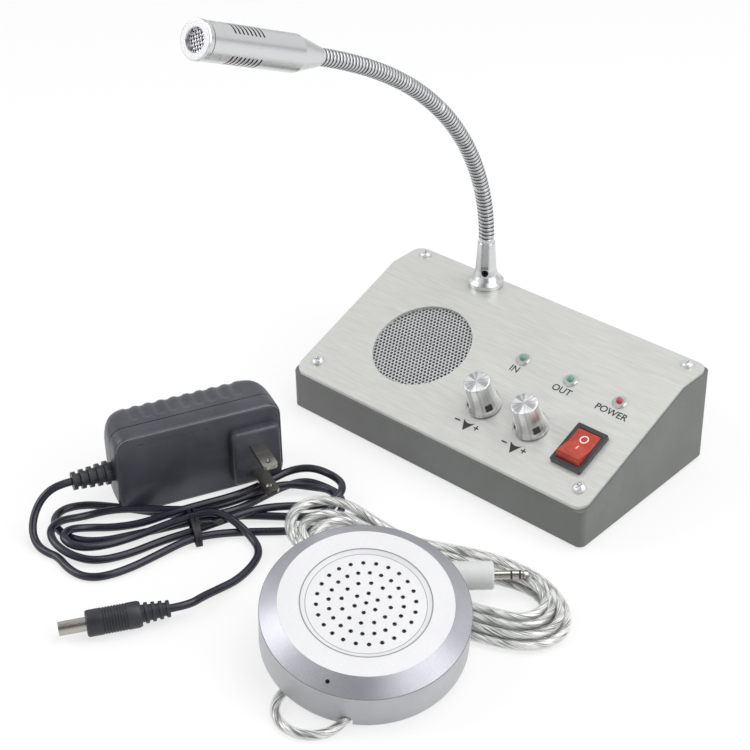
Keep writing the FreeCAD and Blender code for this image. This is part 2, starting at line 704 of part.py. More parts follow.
def make_rocker():
    """Rocker about the X axis through its pivot; round ends clear the bezel as it tips."""
    low = math.sqrt(ROCKER_R ** 2 - ROCKER_LOW ** 2)
    half = ROCKER_HALF_L
    middle = math.atan2(ROCKER_END_H - ROCKER_LOW, half + low)
    bulge = (ROCKER_R * math.cos(middle), ROCKER_R * math.sin(middle))
    x = -ROCKER_W / 2
    edges = [Part.LineSegment(V(x, -half, ROCKER_END_H), V(x, 0, ROCKER_MID_H)).toShape(),
             Part.LineSegment(V(x, 0, ROCKER_MID_H), V(x, half, ROCKER_END_H)).toShape(),
             Part.Arc(V(x, half, ROCKER_END_H), V(x, *bulge), V(x, low, -ROCKER_LOW)).toShape(),
             Part.LineSegment(V(x, low, -ROCKER_LOW), V(x, -low, -ROCKER_LOW)).toShape(),
             Part.Arc(V(x, -low, -ROCKER_LOW), V(x, -bulge[0], bulge[1]),
                      V(x, -half, ROCKER_END_H)).toShape()]
    body = Part.Face(Part.Wire(edges)).extrude(V(ROCKER_W, 0, 0))
    reach = ROCKER_W / 2 + TRUNNION_L
    rocker = fused(body, pin(TRUNNION_R, V(-reach, 0, 0), ACROSS, 2 * reach))
    return put(rocker, FreeCAD.Placement(V(), FreeCAD.Rotation(ACROSS, -ROCKER_TILT)))


# ---- microphone socket ----
SOCKET_FRAME = frame(V(SOCKET_X, BACK_Y - SOCKET_Y_FROM_BACK, LEDGE_Z), ACROSS, UP)


def make_socket():
    """Turned socket: washer, bell flange, tapered stem with a milled slot, and the neck's stub."""
    washer = SOCKET_WASHER_H
    rim = SOCKET_FLANGE_R
    stem = turned([(0, -SOCKET_THREAD_L), (SOCKET_THREAD_R, -SOCKET_THREAD_L), (SOCKET_THREAD_R, 0), (rim, 0),
                   (rim, washer), (rim - 0.5, washer + 0.15), (rim, washer + 0.4), (rim, SOCKET_FLANGE_H),
                   (rim - 1.5, SOCKET_FLANGE_H + 1.3), (SOCKET_FOOT_R + 0.7, SOCKET_FOOT_H - 2.4),
                   (SOCKET_FOOT_R, SOCKET_FOOT_H), (SOCKET_TOP_R, SOCKET_H), (0, SOCKET_H)])
    slot = Part.makeBox(4, SLOT_W, SOCKET_H, V(SOCKET_TOP_R - SLOT_DEPTH / 2, -SLOT_W / 2, SLOT_LOW))
    hole = pin(GRUB_R + THREAD_GAP, V(SOCKET_FOOT_R - GRUB_LEN, 0, GRUB_H), ACROSS, GRUB_LEN + 3)
    stem = stem.cut(turned_about(slot, SLOT_ANGLE)).cut(turned_about(hole, SLOT_ANGLE))
    return fused(put(stem, SOCKET_FRAME), neck_stub())


def make_grub_screw():
    screw = pin(GRUB_R, V(SOCKET_FOOT_R - GRUB_LEN, 0, GRUB_H), ACROSS, GRUB_LEN - 0.2)
    key = pin(GRUB_R * 0.5, V(SOCKET_FOOT_R - 1.4, 0, GRUB_H), ACROSS, 3)
    return put(turned_about(screw.cut(key), SLOT_ANGLE), SOCKET_FRAME)


# ---- flexible neck ----
def neck_stations():
    """Points and angles where the links meet. The angle turns from +Y up to +Z and over the front."""
    foot = SOCKET_FRAME.multVec(V(0, 0, SOCKET_H + NECK_STUB))
    step = (NECK_LENGTH - NECK_STUB) / LINKS
    point = foot
    stations = []
    for i in range(LINKS + 1):
        s = i * step
        angle = math.radians(90 + NECK_TURN * s + NECK_EASE * s * s)
        if i:
            turn = angle - stations[-1][1]
            chord = 2 * step / turn * math.sin(turn / 2)
            heading = stations[-1][1] + turn / 2
            point = point + V(0, math.cos(heading), math.sin(heading)) * chord
        stations.append((point, angle))
    return stations


def along(angle):
    return V(0, math.cos(angle), math.sin(angle))


def knuckle(point, angle):
    """Round end of a link, about its hinge."""
    return Part.makeSphere(NECK_R, point, along(angle), 0, 90, 360)


def neck_stub():
    point, angle = neck_stations()[0]
    foot = point - UP * (NECK_STUB + 0.5)
    return fused(pin(NECK_R, foot, UP, NECK_STUB + 0.5), knuckle(point, angle))


def bent_rod(start, start_angle, end_angle, length, radius):
    """Piece of the neck that bends about X from one angle to the other."""
    turn = end_angle - start_angle
    normal = V(0, -math.sin(start_angle), math.cos(start_angle))
    centre = start + normal * (length / turn)
    disc = Part.Face(Part.Wire(Part.makeCircle(radius, start, along(start_angle))))
    return disc.revolve(centre, ACROSS, math.degrees(turn))


def make_link(index):
    """Curved link with a hollow seat at its foot and a round knuckle at its end."""
    stations = neck_stations()
    start, start_angle = stations[index]
    end, end_angle = stations[index + 1]
    step = (NECK_LENGTH - NECK_STUB) / LINKS
    link = bent_rod(start, start_angle, end_angle, step, NECK_R)
    if index + 1 < LINKS:
        link = fused(link, knuckle(end, end_angle))
    else:
        link = fused(link, pin(NECK_R, end, along(end_angle), NECK_INSERT))
    rim = NECK_R * math.tan(math.radians(JOINT_SWING)) + RIM_GAP
    seat = Part.makeSphere(NECK_R + SEAT_GAP, start)
    below = pin(NECK_R * 2, start - along(start_angle) * NECK_R, along(start_angle), NECK_R + rim)
    return link.cut(seat).cut(below)


# ---- microphone head ----
def mic_frame():
    point, angle = neck_stations()[-1]
    return frame(point, ACROSS, along(angle))


BODY_END = MIC_LENGTH - BEZEL_LEN - RING_GAP
MIC_BORE_R = MIC_R - MIC_WALL


def vent_group():
    """Cutters for one row of cross slots, as sectors about the microphone's axis."""
    reach = MIC_R + 2
    half = math.radians(VENT_HALF_ANGLE)
    wide = reach / math.cos(half)
    cutters = []
    for i in range(VENT_COUNT):
        z = MIC_LENGTH - VENT_FIRST - i * VENT_PITCH
        corner = V(MIC_BORE_R * 0.3, 0, z - VENT_W / 2)
        left = V(wide * math.cos(half), -wide * math.sin(half), z - VENT_W / 2)
        right = V(wide * math.cos(half), wide * math.sin(half), z - VENT_W / 2)
        face = Part.Face(Part.makePolygon([corner, left, right, corner]))
        cutters.append(face.extrude(V(0, 0, VENT_W)))
    return Part.makeCompound(cutters)


def make_mic_body():
    bore = NECK_R + RUN_GAP
    cavity = MIC_SOCKET_DEPTH + MIC_TAPER - 6
    body = turned([(bore, 0), (MIC_REAR_R, 0), (MIC_R, MIC_TAPER), (MIC_R, BODY_END), (MIC_BORE_R, BODY_END),
                   (MIC_BORE_R, cavity), (1.5, cavity), (1.5, MIC_SOCKET_DEPTH), (bore, MIC_SOCKET_DEPTH)])
    for group in range(3):
        body = body.cut(turned_about(vent_group(), VENT_GROUP_TURN + 120 * group))
    return put(body, mic_frame())


def make_mic_bezel():
    rear = MIC_LENGTH - BEZEL_LEN
    inner = SCREEN_R + RUN_GAP
    spigot = MIC_BORE_R - RUN_GAP
    foot = rear - RING_GAP - RING_SPIGOT
    shelf = MIC_LENGTH - RING_WALL
    ring = turned([(MOUTH_R, MIC_LENGTH), (RING_R - 0.5, MIC_LENGTH), (RING_R, MIC_LENGTH - 0.5),
                   (RING_R, rear), (spigot, rear), (spigot, foot), (inner, foot), (inner, shelf),
                   (MOUTH_R, shelf)])
    return put(ring, mic_frame())


def make_mic_screen():
    top = MIC_LENGTH - RING_WALL
    return put(rod(SCREEN_R, top - SCREEN_T, top), mic_frame())


def make_capsule():
    top = MIC_LENGTH - RING_WALL - SCREEN_T
    return put(rod(SCREEN_R, top - CAPSULE_H, top), mic_frame())


# ---- inside of the console ----
def make_board():
    board = block(BOARD_L, BOARD_D, BOARD_LOW, BOARD_TOP, 1.0, BOARD_X, BOARD_Y)
    return board


def make_board_parts():
    """Amplifier chip, two capacitors and the supply regulator, at the back of the board."""
    chip = block(9, 20, BOARD_TOP, BOARD_TOP + 3.5, 0, BOARD_X + 4, BOARD_Y + 8)
    regulator = block(10, 4.5, BOARD_TOP, BOARD_TOP + 15, 0, DC_X - 13, BOARD_Y - 4)
    drums = [rod(4.0, BOARD_TOP, BOARD_TOP + 9, BOARD_X - 38 + 10 * i, BOARD_Y + 20) for i in range(2)]
    return [chip, regulator] + drums


def make_power_socket():
    front = INNER_BACK_Y
    box = Part.makeBox(DC_BODY_W, DC_BODY_L, DC_BODY_H, V(DC_X - DC_BODY_W / 2, front - DC_BODY_L, BOARD_TOP))
    bore_start = V(DC_X, front - DC_BORE_L, DC_Z)
    shell = box.cut(pin(DC_BORE_R, bore_start, V(0, 1, 0), DC_BORE_L + 1))
    return [shell, pin(DC_PIN_R, bore_start, V(0, 1, 0), DC_PIN_L)]


def make_line_socket():
    front = INNER_BACK_Y
    box = Part.makeBox(LINE_W, LINE_L, LINE_H, V(LINE_X - LINE_W / 2, front - LINE_L, BOARD_TOP))
    collar = pin(LINE_COLLAR_R, V(LINE_X, front - 1, LINE_Z), V(0, 1, 0), WALL_T + 1)
    bore = pin(LINE_BORE_R, V(LINE_X, BACK_Y - LINE_BORE_L, LINE_Z), V(0, 1, 0), LINE_BORE_L + 1)
    return fused(box, collar).cut(bore)


# ---- places on the puck ----
def heading(degrees):
    return V(math.cos(math.radians(degrees)), math.sin(math.radians(degrees)), 0)


LEAN = math.radians(PUCK_LEAN)
PUCK_NORMAL = UP * math.cos(LEAN) + heading(PUCK_LEAN_TO) * math.sin(LEAN)
PUCK_FRAME = frame(V(PUCK_X, PUCK_Y, PUCK_R * math.sin(LEAN)), ACROSS, PUCK_NORMAL)
PUCK_TOP = PUCK_BASE_H + PUCK_BEVEL_H


def local_angle(degrees):
    """Angle in the puck's own frame of a plan direction."""
    local = PUCK_FRAME.Rotation.inverted().multVec(heading(degrees))
    return math.degrees(math.atan2(local.y, local.x))


def notch_place():
    """Frame at the rim in the puck's own frame; X points out along the cord."""
    turn = FreeCAD.Rotation(UP, local_angle(NOTCH_ANGLE))
    skew = FreeCAD.Rotation(UP, local_angle(NOTCH_ANGLE + NOTCH_SKEW))
    return FreeCAD.Placement(turn.multVec(V(PUCK_R, 0, 0)), skew)


def puck_screw_angles():
    return [local_angle(NOTCH_ANGLE) + 60 + 120 * i for i in range(3)]


def make_puck_base():
    """Cup with its cord notch, cord stop and three screw posts."""
    inner = PUCK_R - PUCK_WALL
    cup = turned([(0, 0), (PUCK_R - 0.6, 0), (PUCK_R, 0.6), (PUCK_R, PUCK_BASE_H), (inner, PUCK_BASE_H),
                  (inner, PUCK_FLOOR), (0, PUCK_FLOOR)])
    notch = Part.makeBox(20, NOTCH_W, NOTCH_H - NOTCH_W / 2 + 1, V(-NOTCH_END, -NOTCH_W / 2, -1))
    arch = pin(NOTCH_W / 2, V(-NOTCH_END, 0, NOTCH_H - NOTCH_W / 2), ACROSS, 20)
    stop = Part.makeBox(CORD_STOP, 2 * NOTCH_W, NOTCH_H + 3, V(-NOTCH_END - CORD_STOP, -NOTCH_W, 0.5))
    posts = []
    sinks = []
    for angle in puck_screw_angles():
        spot = FreeCAD.Placement(V(), FreeCAD.Rotation(UP, angle)).multVec(V(PUCK_SCREW_RING, 0, 0))
        post = tube_ring(3.4, SCREW_R + THREAD_GAP, PUCK_FLOOR, PUCK_BASE_H - PUCK_SPIGOT - 0.3)
        posts.append(put(post, frame(spot, ACROSS, UP)))
        sinks.append(put(countersink(), frame(spot, ACROSS, UP)))
    cup = cup.cut(put(notch.fuse(arch), notch_place())).cut(Part.makeCompound(sinks))
    return put(fused(cup, put(stop, notch_place()), *posts), PUCK_FRAME)


def puck_screws():
    screws = []
    for angle in puck_screw_angles():
        spot = FreeCAD.Placement(V(), FreeCAD.Rotation(UP, angle)).multVec(V(PUCK_SCREW_RING, 0, 0))
        screws.append(put(flat_screw(), PUCK_FRAME.multiply(frame(spot, ACROSS, UP))))
    return screws


def bevel_frame(depth):
    """Frame on the bevel at the talk hole, depth under its surface, Z square to the bevel."""
    run = PUCK_R - PUCK_FACE_R
    slope = math.atan2(PUCK_BEVEL_H, run)
    out = V(math.sin(slope), 0, math.cos(slope))
    middle = V((PUCK_R + PUCK_FACE_R) / 2, 0, PUCK_BASE_H + PUCK_BEVEL_H / 2) - out * depth
    turn = FreeCAD.Placement(V(), FreeCAD.Rotation(UP, local_angle(MIC_HOLE_ANGLE)))
    return PUCK_FRAME.multiply(turn).multiply(frame(middle, V(0, 1, 0), out))


def make_puck_cover():
    """Bevelled ring with the shelf for the face and the spigot that enters the base."""
    shelf = PUCK_TOP - FACE_EDGE_T
    spigot = PUCK_R - PUCK_WALL - PUCK_GAP
    under = PUCK_BASE_H + 1.4
    ring = turned([(PUCK_FACE_R, PUCK_TOP), (PUCK_R, PUCK_BASE_H), (spigot, PUCK_BASE_H),
                   (spigot, PUCK_BASE_H - PUCK_SPIGOT), (spigot - 1.4, PUCK_BASE_H - PUCK_SPIGOT),
                   (spigot - 1.4, PUCK_BASE_H), (PUCK_FACE_R - 1.0, shelf - 1.6),
                   (PUCK_FACE_R - FACE_LEDGE, shelf - 1.6), (PUCK_FACE_R - FACE_LEDGE, shelf),
                   (PUCK_FACE_R, shelf)])
    talk_hole = rod(MIC_HOLE_R, -4, 1)
    pocket = rod(PUCK_MIC_R + PUCK_GAP, -4, -TALK_WALL)
    return put(ring, PUCK_FRAME).cut(put(talk_hole.fuse(pocket), bevel_frame(0)))


def make_puck_face():
    edge = PUCK_FACE_R - PUCK_GAP
    low = PUCK_TOP - FACE_EDGE_T
    back_r = PUCK_FACE_R - FACE_LEDGE - PUCK_GAP
    face = turned([(0, PUCK_TOP - FACE_DISH), (FACE_DISH_R, PUCK_TOP - FACE_DISH), (FACE_RING_R, PUCK_TOP),
                   (edge, PUCK_TOP), (edge, low), (back_r, low), (back_r, low - FACE_BACK_STEP),
                   (0, low - FACE_BACK_STEP)])
    holes = [hexagon(2 * HOLE_R, low - 2, PUCK_TOP + 1, sides=8)]
    for radius, count in zip(HOLE_RING_R, HOLE_RING_COUNTS):
        for i in range(count):
            angle = 2 * math.pi * i / count
            holes.append(hexagon(2 * HOLE_R, low - 2, PUCK_TOP + 1, radius * math.cos(angle),
                                 radius * math.sin(angle), 8))
    return put(face.cut(Part.makeCompound(holes)), PUCK_FRAME)


def puck_envelope(gap):
    return put(rod(PUCK_R + gap, -gap, PUCK_TOP + 10), PUCK_FRAME)


# ---- cords ----
CLEAR_LOOP = [PUCK_FRAME.multVec(notch_place().multVec(V(out, 0, CORD_EXIT_H)))
              for out in (-NOTCH_END, CORD_BEND_OUT)] + CLEAR_LOOP_LAY


def cord_radii(points):
    radii = [0.0]
    for before, here, after in zip(points, points[1:], points[2:]):
        turn = (here - before).getAngle(after - here)
        radii.append(0.45 * min((here - before).Length, (after - here).Length) / math.tan(turn / 2))
    return radii + [0.0]


def cord_points(points):
    return [V(point[0], point[1], point[2]) for point in points]


def cord(points, radius):
    """Round cord along straight runs and tangent arcs."""
    path = cord_points(points)
    wire = rounded(path, cord_radii(path), closed=False)
    ring = Part.Wire(Part.makeCircle(radius, path[0], path[1] - path[0]))
    return wire.makePipeShell([ring], True, False), wire.Length


def print_cord(name, points, radius):
    solid, length = cord(points, radius)
    radii = cord_radii(cord_points(points))[1:-1]
    share = solid.Volume / (math.pi * radius * radius * length)
    print(f"{name}: length {length:.1f}, volume share {share:.4f}, radii", [round(r, 1) for r in radii])
    return solid


def stadium(half_width, low, high):
    """Plan outline of one loop of the clear hank."""
    start = V(*HANK_FROM, 0)
    end = V(*HANK_TO, 0)
    direction = (end - start).normalize()
    side = UP.cross(direction) * half_width
    tip = direction * half_width
    lift = V(0, 0, low)
    edges = [Part.LineSegment(start - side, end - side).toShape(),
             Part.Arc(end - side, end + tip, end + side).toShape(),
             Part.LineSegment(end + side, start + side).toShape(),
             Part.Arc(start + side, start - tip, start - side).toShape()]
    face = Part.Face(Part.Wire(edges))
    face.translate(lift)
    return face.extrude(V(0, 0, high - low))


def make_clear_hank():
    ring = stadium(HANK_RING_OUT, -1, 30).cut(stadium(HANK_RING_IN, -2, 31))
    low = [(115, 0), (HANK_LOW_X, 0), (2, HANK_LIFT), (-25, HANK_LIFT)]
    corners = [V(x, HANK_FRONT_Y, z) for x, z in low + list(HANK_TOP)]
    band = Part.Face(Part.makePolygon(corners + corners[:1])).extrude(V(0, HANK_BAND_D, 0))
    ring = ring.common(band).cut(puck_envelope(LAY_GAP))
    ring = ring.cut(cord(CLEAR_LOOP, CLEAR_R + LAY_GAP)[0]).cut(cord(CLEAR_TAIL, CLEAR_R + LAY_GAP)[0])
    place = jack_frame()
    ring = ring.cut(put(rod(JACK_BODY_R + LAY_GAP, -JACK_BODY_L - JACK_RELIEF_L, 0.2), place))
    return largest(ring.cut(put(rod(JACK_CLEAR_R, -0.5, JACK_CLEAR_L), place)))


def largest(shape):
    return max(shape.Solids, key=lambda solid: solid.Volume)


def tie_ring(half, thickness, width, gap):
    """Flat band round the bundle, gap larger all round."""
    place = frame(V(*TIE_MIDDLE, 0), heading(TIE_TURN), UP)
    top = BLACK_HANK_H + 0.4
    outer = block(2 * half + 2 * gap, width + 2 * gap, -gap, top + gap, 1.5)
    inner = block(2 * (half - thickness - gap), width + 8, thickness + gap, top - thickness - gap)
    return put(outer.cut(inner), place)


def make_black_hank():
    hank = prism(BLACK_OUTER, BLACK_HANK_R, 0, BLACK_HANK_H)
    for hole in BLACK_HOLES:
        hank = hank.cut(prism(hole, 2.0, -1, BLACK_HANK_H + 1))
    hank = hank.cut(cord(POWER_START, BLACK_R + LAY_GAP)[0]).cut(cord(POWER_END, BLACK_R + LAY_GAP)[0])
    hank = hank.cut(adapter_envelope(LAY_GAP))
    return largest(hank.cut(tie_ring(TIE_HALF, TIE_T, TIE_W, PUCK_GAP)))


# ---- 3.5 mm plug ----
def jack_frame():
    return frame(V(*JACK_POINT), UP, JACK_HEADING)


def make_jack_body():
    tail = -JACK_BODY_L - JACK_RELIEF_L
    neck = -JACK_BODY_L
    profile = [(0, tail), (JACK_RELIEF_R - 0.8, tail), (JACK_RELIEF_R, neck), (JACK_BODY_R - 0.5, neck),
               (JACK_BODY_R, neck + 0.8), (JACK_BODY_R, -0.6), (JACK_BODY_R - 0.6, 0), (0, 0)]
    return put(turned(profile), jack_frame())


def make_jack_pin():
    groove = JACK_PIN_R - 0.5
    profile = [(0, 0), (JACK_PIN_R, 0)]
    for at in JACK_RING_AT:
        end = at + JACK_RING_W
        profile += [(JACK_PIN_R, at), (groove, at), (groove, end), (JACK_PIN_R, end)]
    tip = JACK_PIN_L
    profile += [(JACK_PIN_R, tip - 3.0), (JACK_PIN_R - 0.45, tip - 2.5), (JACK_PIN_R, tip - 1.9),
                (JACK_PIN_R - 0.3, tip - 0.7), (0.7, tip), (0, tip)]
    return put(turned(profile), jack_frame())


def make_jack_rings():
    rings = []
    for at in JACK_RING_AT:
        ring = tube_ring(JACK_PIN_R, JACK_PIN_R - 0.48, at + 0.02, at + JACK_RING_W - 0.02)
        rings.append(put(ring, jack_frame()))
    return rings


# ---- DC plug ----
def dc_frame():
    return frame(V(*DC_PLUG_REAR), UP, DC_PLUG_HEADING)


def ribbed(length, root_r, tip_r, ribs, groove):
    """Profile of a strain relief: ribs that shrink towards the cord, from z = length down to 0."""
    pitch = length / (2 * ribs)
    points = []
    for i in range(ribs):
        outer = tip_r + (root_r - tip_r) * (i + 1) / ribs
        low = 2 * i * pitch
        high = low + pitch
        points += [(outer, low), (outer, high), (outer - groove, high), (outer - groove, high + pitch)]
    return points


def make_dc_body():
    front = DC_RELIEF_L + DC_PLUG_L
    profile = [(0, 0)] + ribbed(DC_RELIEF_L, DC_RELIEF_R, DC_RELIEF_R - 1.0, 4, 0.6)
    profile += [(DC_PLUG_R - 0.4, DC_RELIEF_L), (DC_PLUG_R, DC_RELIEF_L + 0.8), (DC_PLUG_R, front - 0.8),
                (DC_PLUG_R - 0.8, front), (0, front)]
    return put(turned(profile), dc_frame())


def make_dc_barrel():
    root = DC_RELIEF_L + DC_PLUG_L
    return put(tube_ring(DC_BARREL_R, DC_BARREL_R - DC_BARREL_T, root, root + DC_BARREL_L), dc_frame())


def make_dc_insulator():
    root = DC_RELIEF_L + DC_PLUG_L
    outer = DC_BARREL_R - DC_BARREL_T - 0.02
    return put(tube_ring(outer, DC_TIP_BORE_R, root, root + DC_BARREL_L - 0.3), dc_frame())


# ---- power adapter ----
def adapter_frame():
    return frame(V(*ADAPTER_CORNER, 0), heading(ADAPTER_TURN), UP)


def adapter_plan(front_y, back_y, front_r, back_r, gap=0.0):
    """Upright prism of the case between two depths; Y runs into the case."""
    corners = [V(-gap, front_y - gap, -gap), V(ADAPTER_L + gap, front_y - gap, -gap),
               V(ADAPTER_L + gap, back_y + gap, -gap), V(-gap, back_y + gap, -gap)]
    wire = rounded(corners, [front_r, front_r, back_r, back_r])
    return Part.Face(wire).extrude(V(0, 0, ADAPTER_H + 2 * gap))


def adapter_side(inset):
    """Prism along the case whose far upper and lower edges are rounded."""
    back = ADAPTER_D - inset
    top = ADAPTER_H - inset
    corners = [V(-5, -10, inset), V(-5, back, inset), V(-5, back, top), V(-5, -10, top)]
    wire = rounded(corners, [0, ADAPTER_TOP_R, ADAPTER_TOP_R, 0])
    return Part.Face(wire).extrude(V(ADAPTER_L + 10, 0, 0))


def make_adapter_front():
    """Front shell with the raised block that carries the blades."""
    shell = adapter_plan(0, ADAPTER_FRONT_T, ADAPTER_FRONT_R, 0)
    right = ADAPTER_L - BLADE_BLOCK_END
    left = right - BLADE_BLOCK_W
    top = BLADE_BLOCK_LOW + BLADE_BLOCK_H
    corners = [V(left, 1, BLADE_BLOCK_LOW), V(right, 1, BLADE_BLOCK_LOW), V(right, 1, top), V(left, 1, top)]
    raised = Part.Face(rounded(corners, [2.0] * 4)).extrude(V(0, -BLADE_BLOCK_OUT - 1, 0))
    return put(fused(shell, raised), adapter_frame())


def make_adapter_back():
    """Rounded rear shell with finger grooves over its top, back and underside."""
    shell = adapter_plan(ADAPTER_FRONT_T, ADAPTER_D, 0, ADAPTER_BACK_R).common(adapter_side(0))
    skin = adapter_plan(ADAPTER_FRONT_T, ADAPTER_D, 0, 0).cut(adapter_side(GRIP_DEPTH))
    bands = []
    for i in range(GRIP_COUNT):
        corner = V(GRIP_FIRST + i * GRIP_PITCH - GRIP_W / 2, ADAPTER_FRONT_T + 1, ADAPTER_H / 2)
        bands.append(Part.makeBox(GRIP_W, ADAPTER_D, ADAPTER_H, corner))
    grooves = skin.common(Part.makeCompound(bands))
    return put(shell.cut(grooves), adapter_frame())


def blade_centre():
    return ADAPTER_L - BLADE_BLOCK_END - BLADE_BLOCK_W / 2, BLADE_BLOCK_LOW + BLADE_BLOCK_H / 2 - 0.5


def make_blades():
    x, z = blade_centre()
    left = x - BLADE_W / 2
    right = x + BLADE_W / 2
    near = -BLADE_BLOCK_OUT
    far = near - BLADE_L
    points = [(left, near), (left, far + 1.2), (left + 1.2, far), (right - 1.2, far), (right, far + 1.2),
              (right, near)]
    blades = []
    for side in (-1, 1):
        level = z + side * BLADE_SPACING / 2 - BLADE_T / 2
        blade = prism(points, 0, level, level + BLADE_T).cut(rod(BLADE_HOLE_R, 0, 40, x, far + 4.0))
        blades.append(put(blade, adapter_frame()))
    return blades


def make_relief():
    """Ribbed strain relief standing out of the case's left end."""
    profile = [(0, 0)] + ribbed(RELIEF_L, RELIEF_R, RELIEF_TIP_R, RELIEF_RIBS, 1.0) + [(0, RELIEF_L)]
    place = adapter_frame().multiply(frame(V(-RELIEF_L, ADAPTER_FRONT_T, RELIEF_Z), UP, ACROSS))
    return put(turned(profile), place)


def adapter_envelope(gap):
    body = adapter_plan(0, ADAPTER_D, ADAPTER_FRONT_R, ADAPTER_BACK_R, gap)
    right = ADAPTER_L - BLADE_BLOCK_END + gap
    out = BLADE_BLOCK_OUT + gap
    raised = Part.makeBox(BLADE_BLOCK_W + 2 * gap, out + 1, BLADE_BLOCK_H + 2 * gap,
                          V(right - BLADE_BLOCK_W - 2 * gap, -out, BLADE_BLOCK_LOW - gap))
    return put(fused(body, raised), adapter_frame())


# ---- nodes ----
def export_console():
    export("housing", make_housing())
    export("top_panel", make_panel())
    export("panel_screws", *[put(pan_screw(), place) for place in screw_places()])
    export("speaker_grille", make_grille())
    export("mic_socket", make_socket())
    export("socket_screw", make_grub_screw())
    export("base_plate", make_base_plate())
    screws = [put(flat_screw(), frame(V(x, y, FOOT_H), ACROSS, UP)) for x, y in base_screw_points()]
    export("underside_screws", *(screws + puck_screws()))
    export("feet", *make_feet())
    basket, cone = driver(DRIVER_R, DRIVER_DEPTH, DRIVER_MAGNET_R)
    place = shifted(SLOPE_FRAME, SPEAKER_X, SPEAKER_S, -PANEL_T - GRILLE_T)
    export("speaker_driver", put(basket, place))
    export("speaker_cone", put(cone, place))
    export("circuit_board", make_board())
    export("board_parts", *make_board_parts())
    export("power_socket", *make_power_socket())
    export("line_socket", make_line_socket())


def export_controls():
    knob_places = [on_slope(x, KNOB_S) for x in KNOB_XS]
    for name, place in zip(("in", "out"), knob_places):
        export("knob_" + name, put(make_knob(), place))
        export("shaft_" + name, put(shaft_blank(SHAFT_R, -PANEL_T - POT_H + 2, SHAFT_TOP), place))
    export("pots", *[put(make_pot(), place) for place in knob_places])
    nuts = [put(make_nut(NUT_AF, BUSHING_R + RUN_GAP, 0, NUT_H), place) for place in knob_places]
    socket_nut = make_nut(SOCKET_NUT_AF, SOCKET_THREAD_R + RUN_GAP, -PANEL_T - SOCKET_NUT_H, -PANEL_T)
    export("panel_nuts", *(nuts + [put(turned_about(socket_nut, 30), SOCKET_FRAME)]))
    leds = [on_slope(x, LED_S) for x in LED_XS]
    export("led_holders", *[put(make_led_holder(), place) for place in leds])
    export("led_green", *[put(make_led(), place) for place in leds[:2]])
    export("led_red", put(make_led(), leds[2]))
    switch = on_slope(SWITCH_X, SWITCH_S)
    export("switch_body", put(make_switch_body(), switch), *[put(tab, switch) for tab in make_terminals()])
    export("switch_rocker", put(make_rocker(), switch))


def export_microphone():
    for index in range(LINKS):
        export(f"neck_link_{index + 1}", make_link(index))
    export("mic_body", make_mic_body())
    export("mic_bezel", make_mic_bezel())
    export("mic_grille", make_mic_screen())
    export("mic_capsule", make_capsule())


def export_puck():
    export("puck_base", make_puck_base())
    export("puck_cover", make_puck_cover())
    export("puck_face", make_puck_face())
    basket, cone = driver(PUCK_DRIVER_R, PUCK_DRIVER_DEPTH, PUCK_MAGNET_R)
    place = shifted(PUCK_FRAME, 0, 0, PUCK_TOP - FACE_EDGE_T - FACE_BACK_STEP)
    export("puck_speaker", put(basket, place))
    export("puck_cone", put(cone, place))
    export("puck_mic", put(rod(PUCK_MIC_R, -PUCK_MIC_H, 0), bevel_frame(TALK_WALL)))


def export_cords():
    export("clear_cord_loop", print_cord("clear loop", CLEAR_LOOP, CLEAR_R))
    export("clear_cord_hank", make_clear_hank())
    export("clear_cord_tail", print_cord("clear tail", CLEAR_TAIL, CLEAR_R))
    export("jack_body", make_jack_body())
    export("jack_pin", make_jack_pin())
    export("jack_rings", *make_jack_rings())
    export("power_cord_start", print_cord("power start", POWER_START, BLACK_R))
    export("power_cord_hank", make_black_hank())
    export("cord_tie", tie_ring(TIE_HALF, TIE_T, TIE_W, 0.0))
    export("power_cord_end", print_cord("power end", POWER_END, BLACK_R))
    export("dc_body", make_dc_body())
    export("dc_barrel", make_dc_barrel())
    export("dc_insulator", make_dc_insulator())


def export_adapter():
    export("adapter_front", make_adapter_front())
    export("adapter_back", make_adapter_back())
    export("adapter_blades", *make_blades())
    export("adapter_relief", make_relief())


export_console()
export_controls()
export_microphone()
export_puck()
export_cords()
export_adapter()
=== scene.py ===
import logging
from dataclasses import dataclass
from enum import Enum
from math import atan2, cos, hypot, pi, radians, sin, sqrt, tau
from typing import Any, Sequence

import bmesh
import bpy
from mathutils import Matrix, Vector


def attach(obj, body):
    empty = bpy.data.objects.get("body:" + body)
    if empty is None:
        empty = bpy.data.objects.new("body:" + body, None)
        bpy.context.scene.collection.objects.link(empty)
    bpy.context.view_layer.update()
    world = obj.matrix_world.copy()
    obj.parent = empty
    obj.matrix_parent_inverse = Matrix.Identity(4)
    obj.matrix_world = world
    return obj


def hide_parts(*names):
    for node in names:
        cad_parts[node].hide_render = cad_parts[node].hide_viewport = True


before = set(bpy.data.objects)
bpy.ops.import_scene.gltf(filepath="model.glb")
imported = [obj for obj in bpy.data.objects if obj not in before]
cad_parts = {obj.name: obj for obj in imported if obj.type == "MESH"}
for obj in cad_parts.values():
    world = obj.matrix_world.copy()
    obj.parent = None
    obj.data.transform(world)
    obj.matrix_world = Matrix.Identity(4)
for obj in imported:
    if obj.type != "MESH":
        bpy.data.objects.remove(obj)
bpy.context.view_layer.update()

LOG = logging.getLogger("teller_window_intercom")
MM = 0.001
# Types that recur.
Piece = bpy.types.Object
Tree = bpy.types.NodeTree
Socket = bpy.types.NodeSocket
Point = tuple[float, float, float]
Course = tuple[Point, ...]
Colour = tuple[float, float, float, float]
Sides = tuple[float, float, float, float]
Pair = tuple[float, float]
Profile = Sequence[Pair]
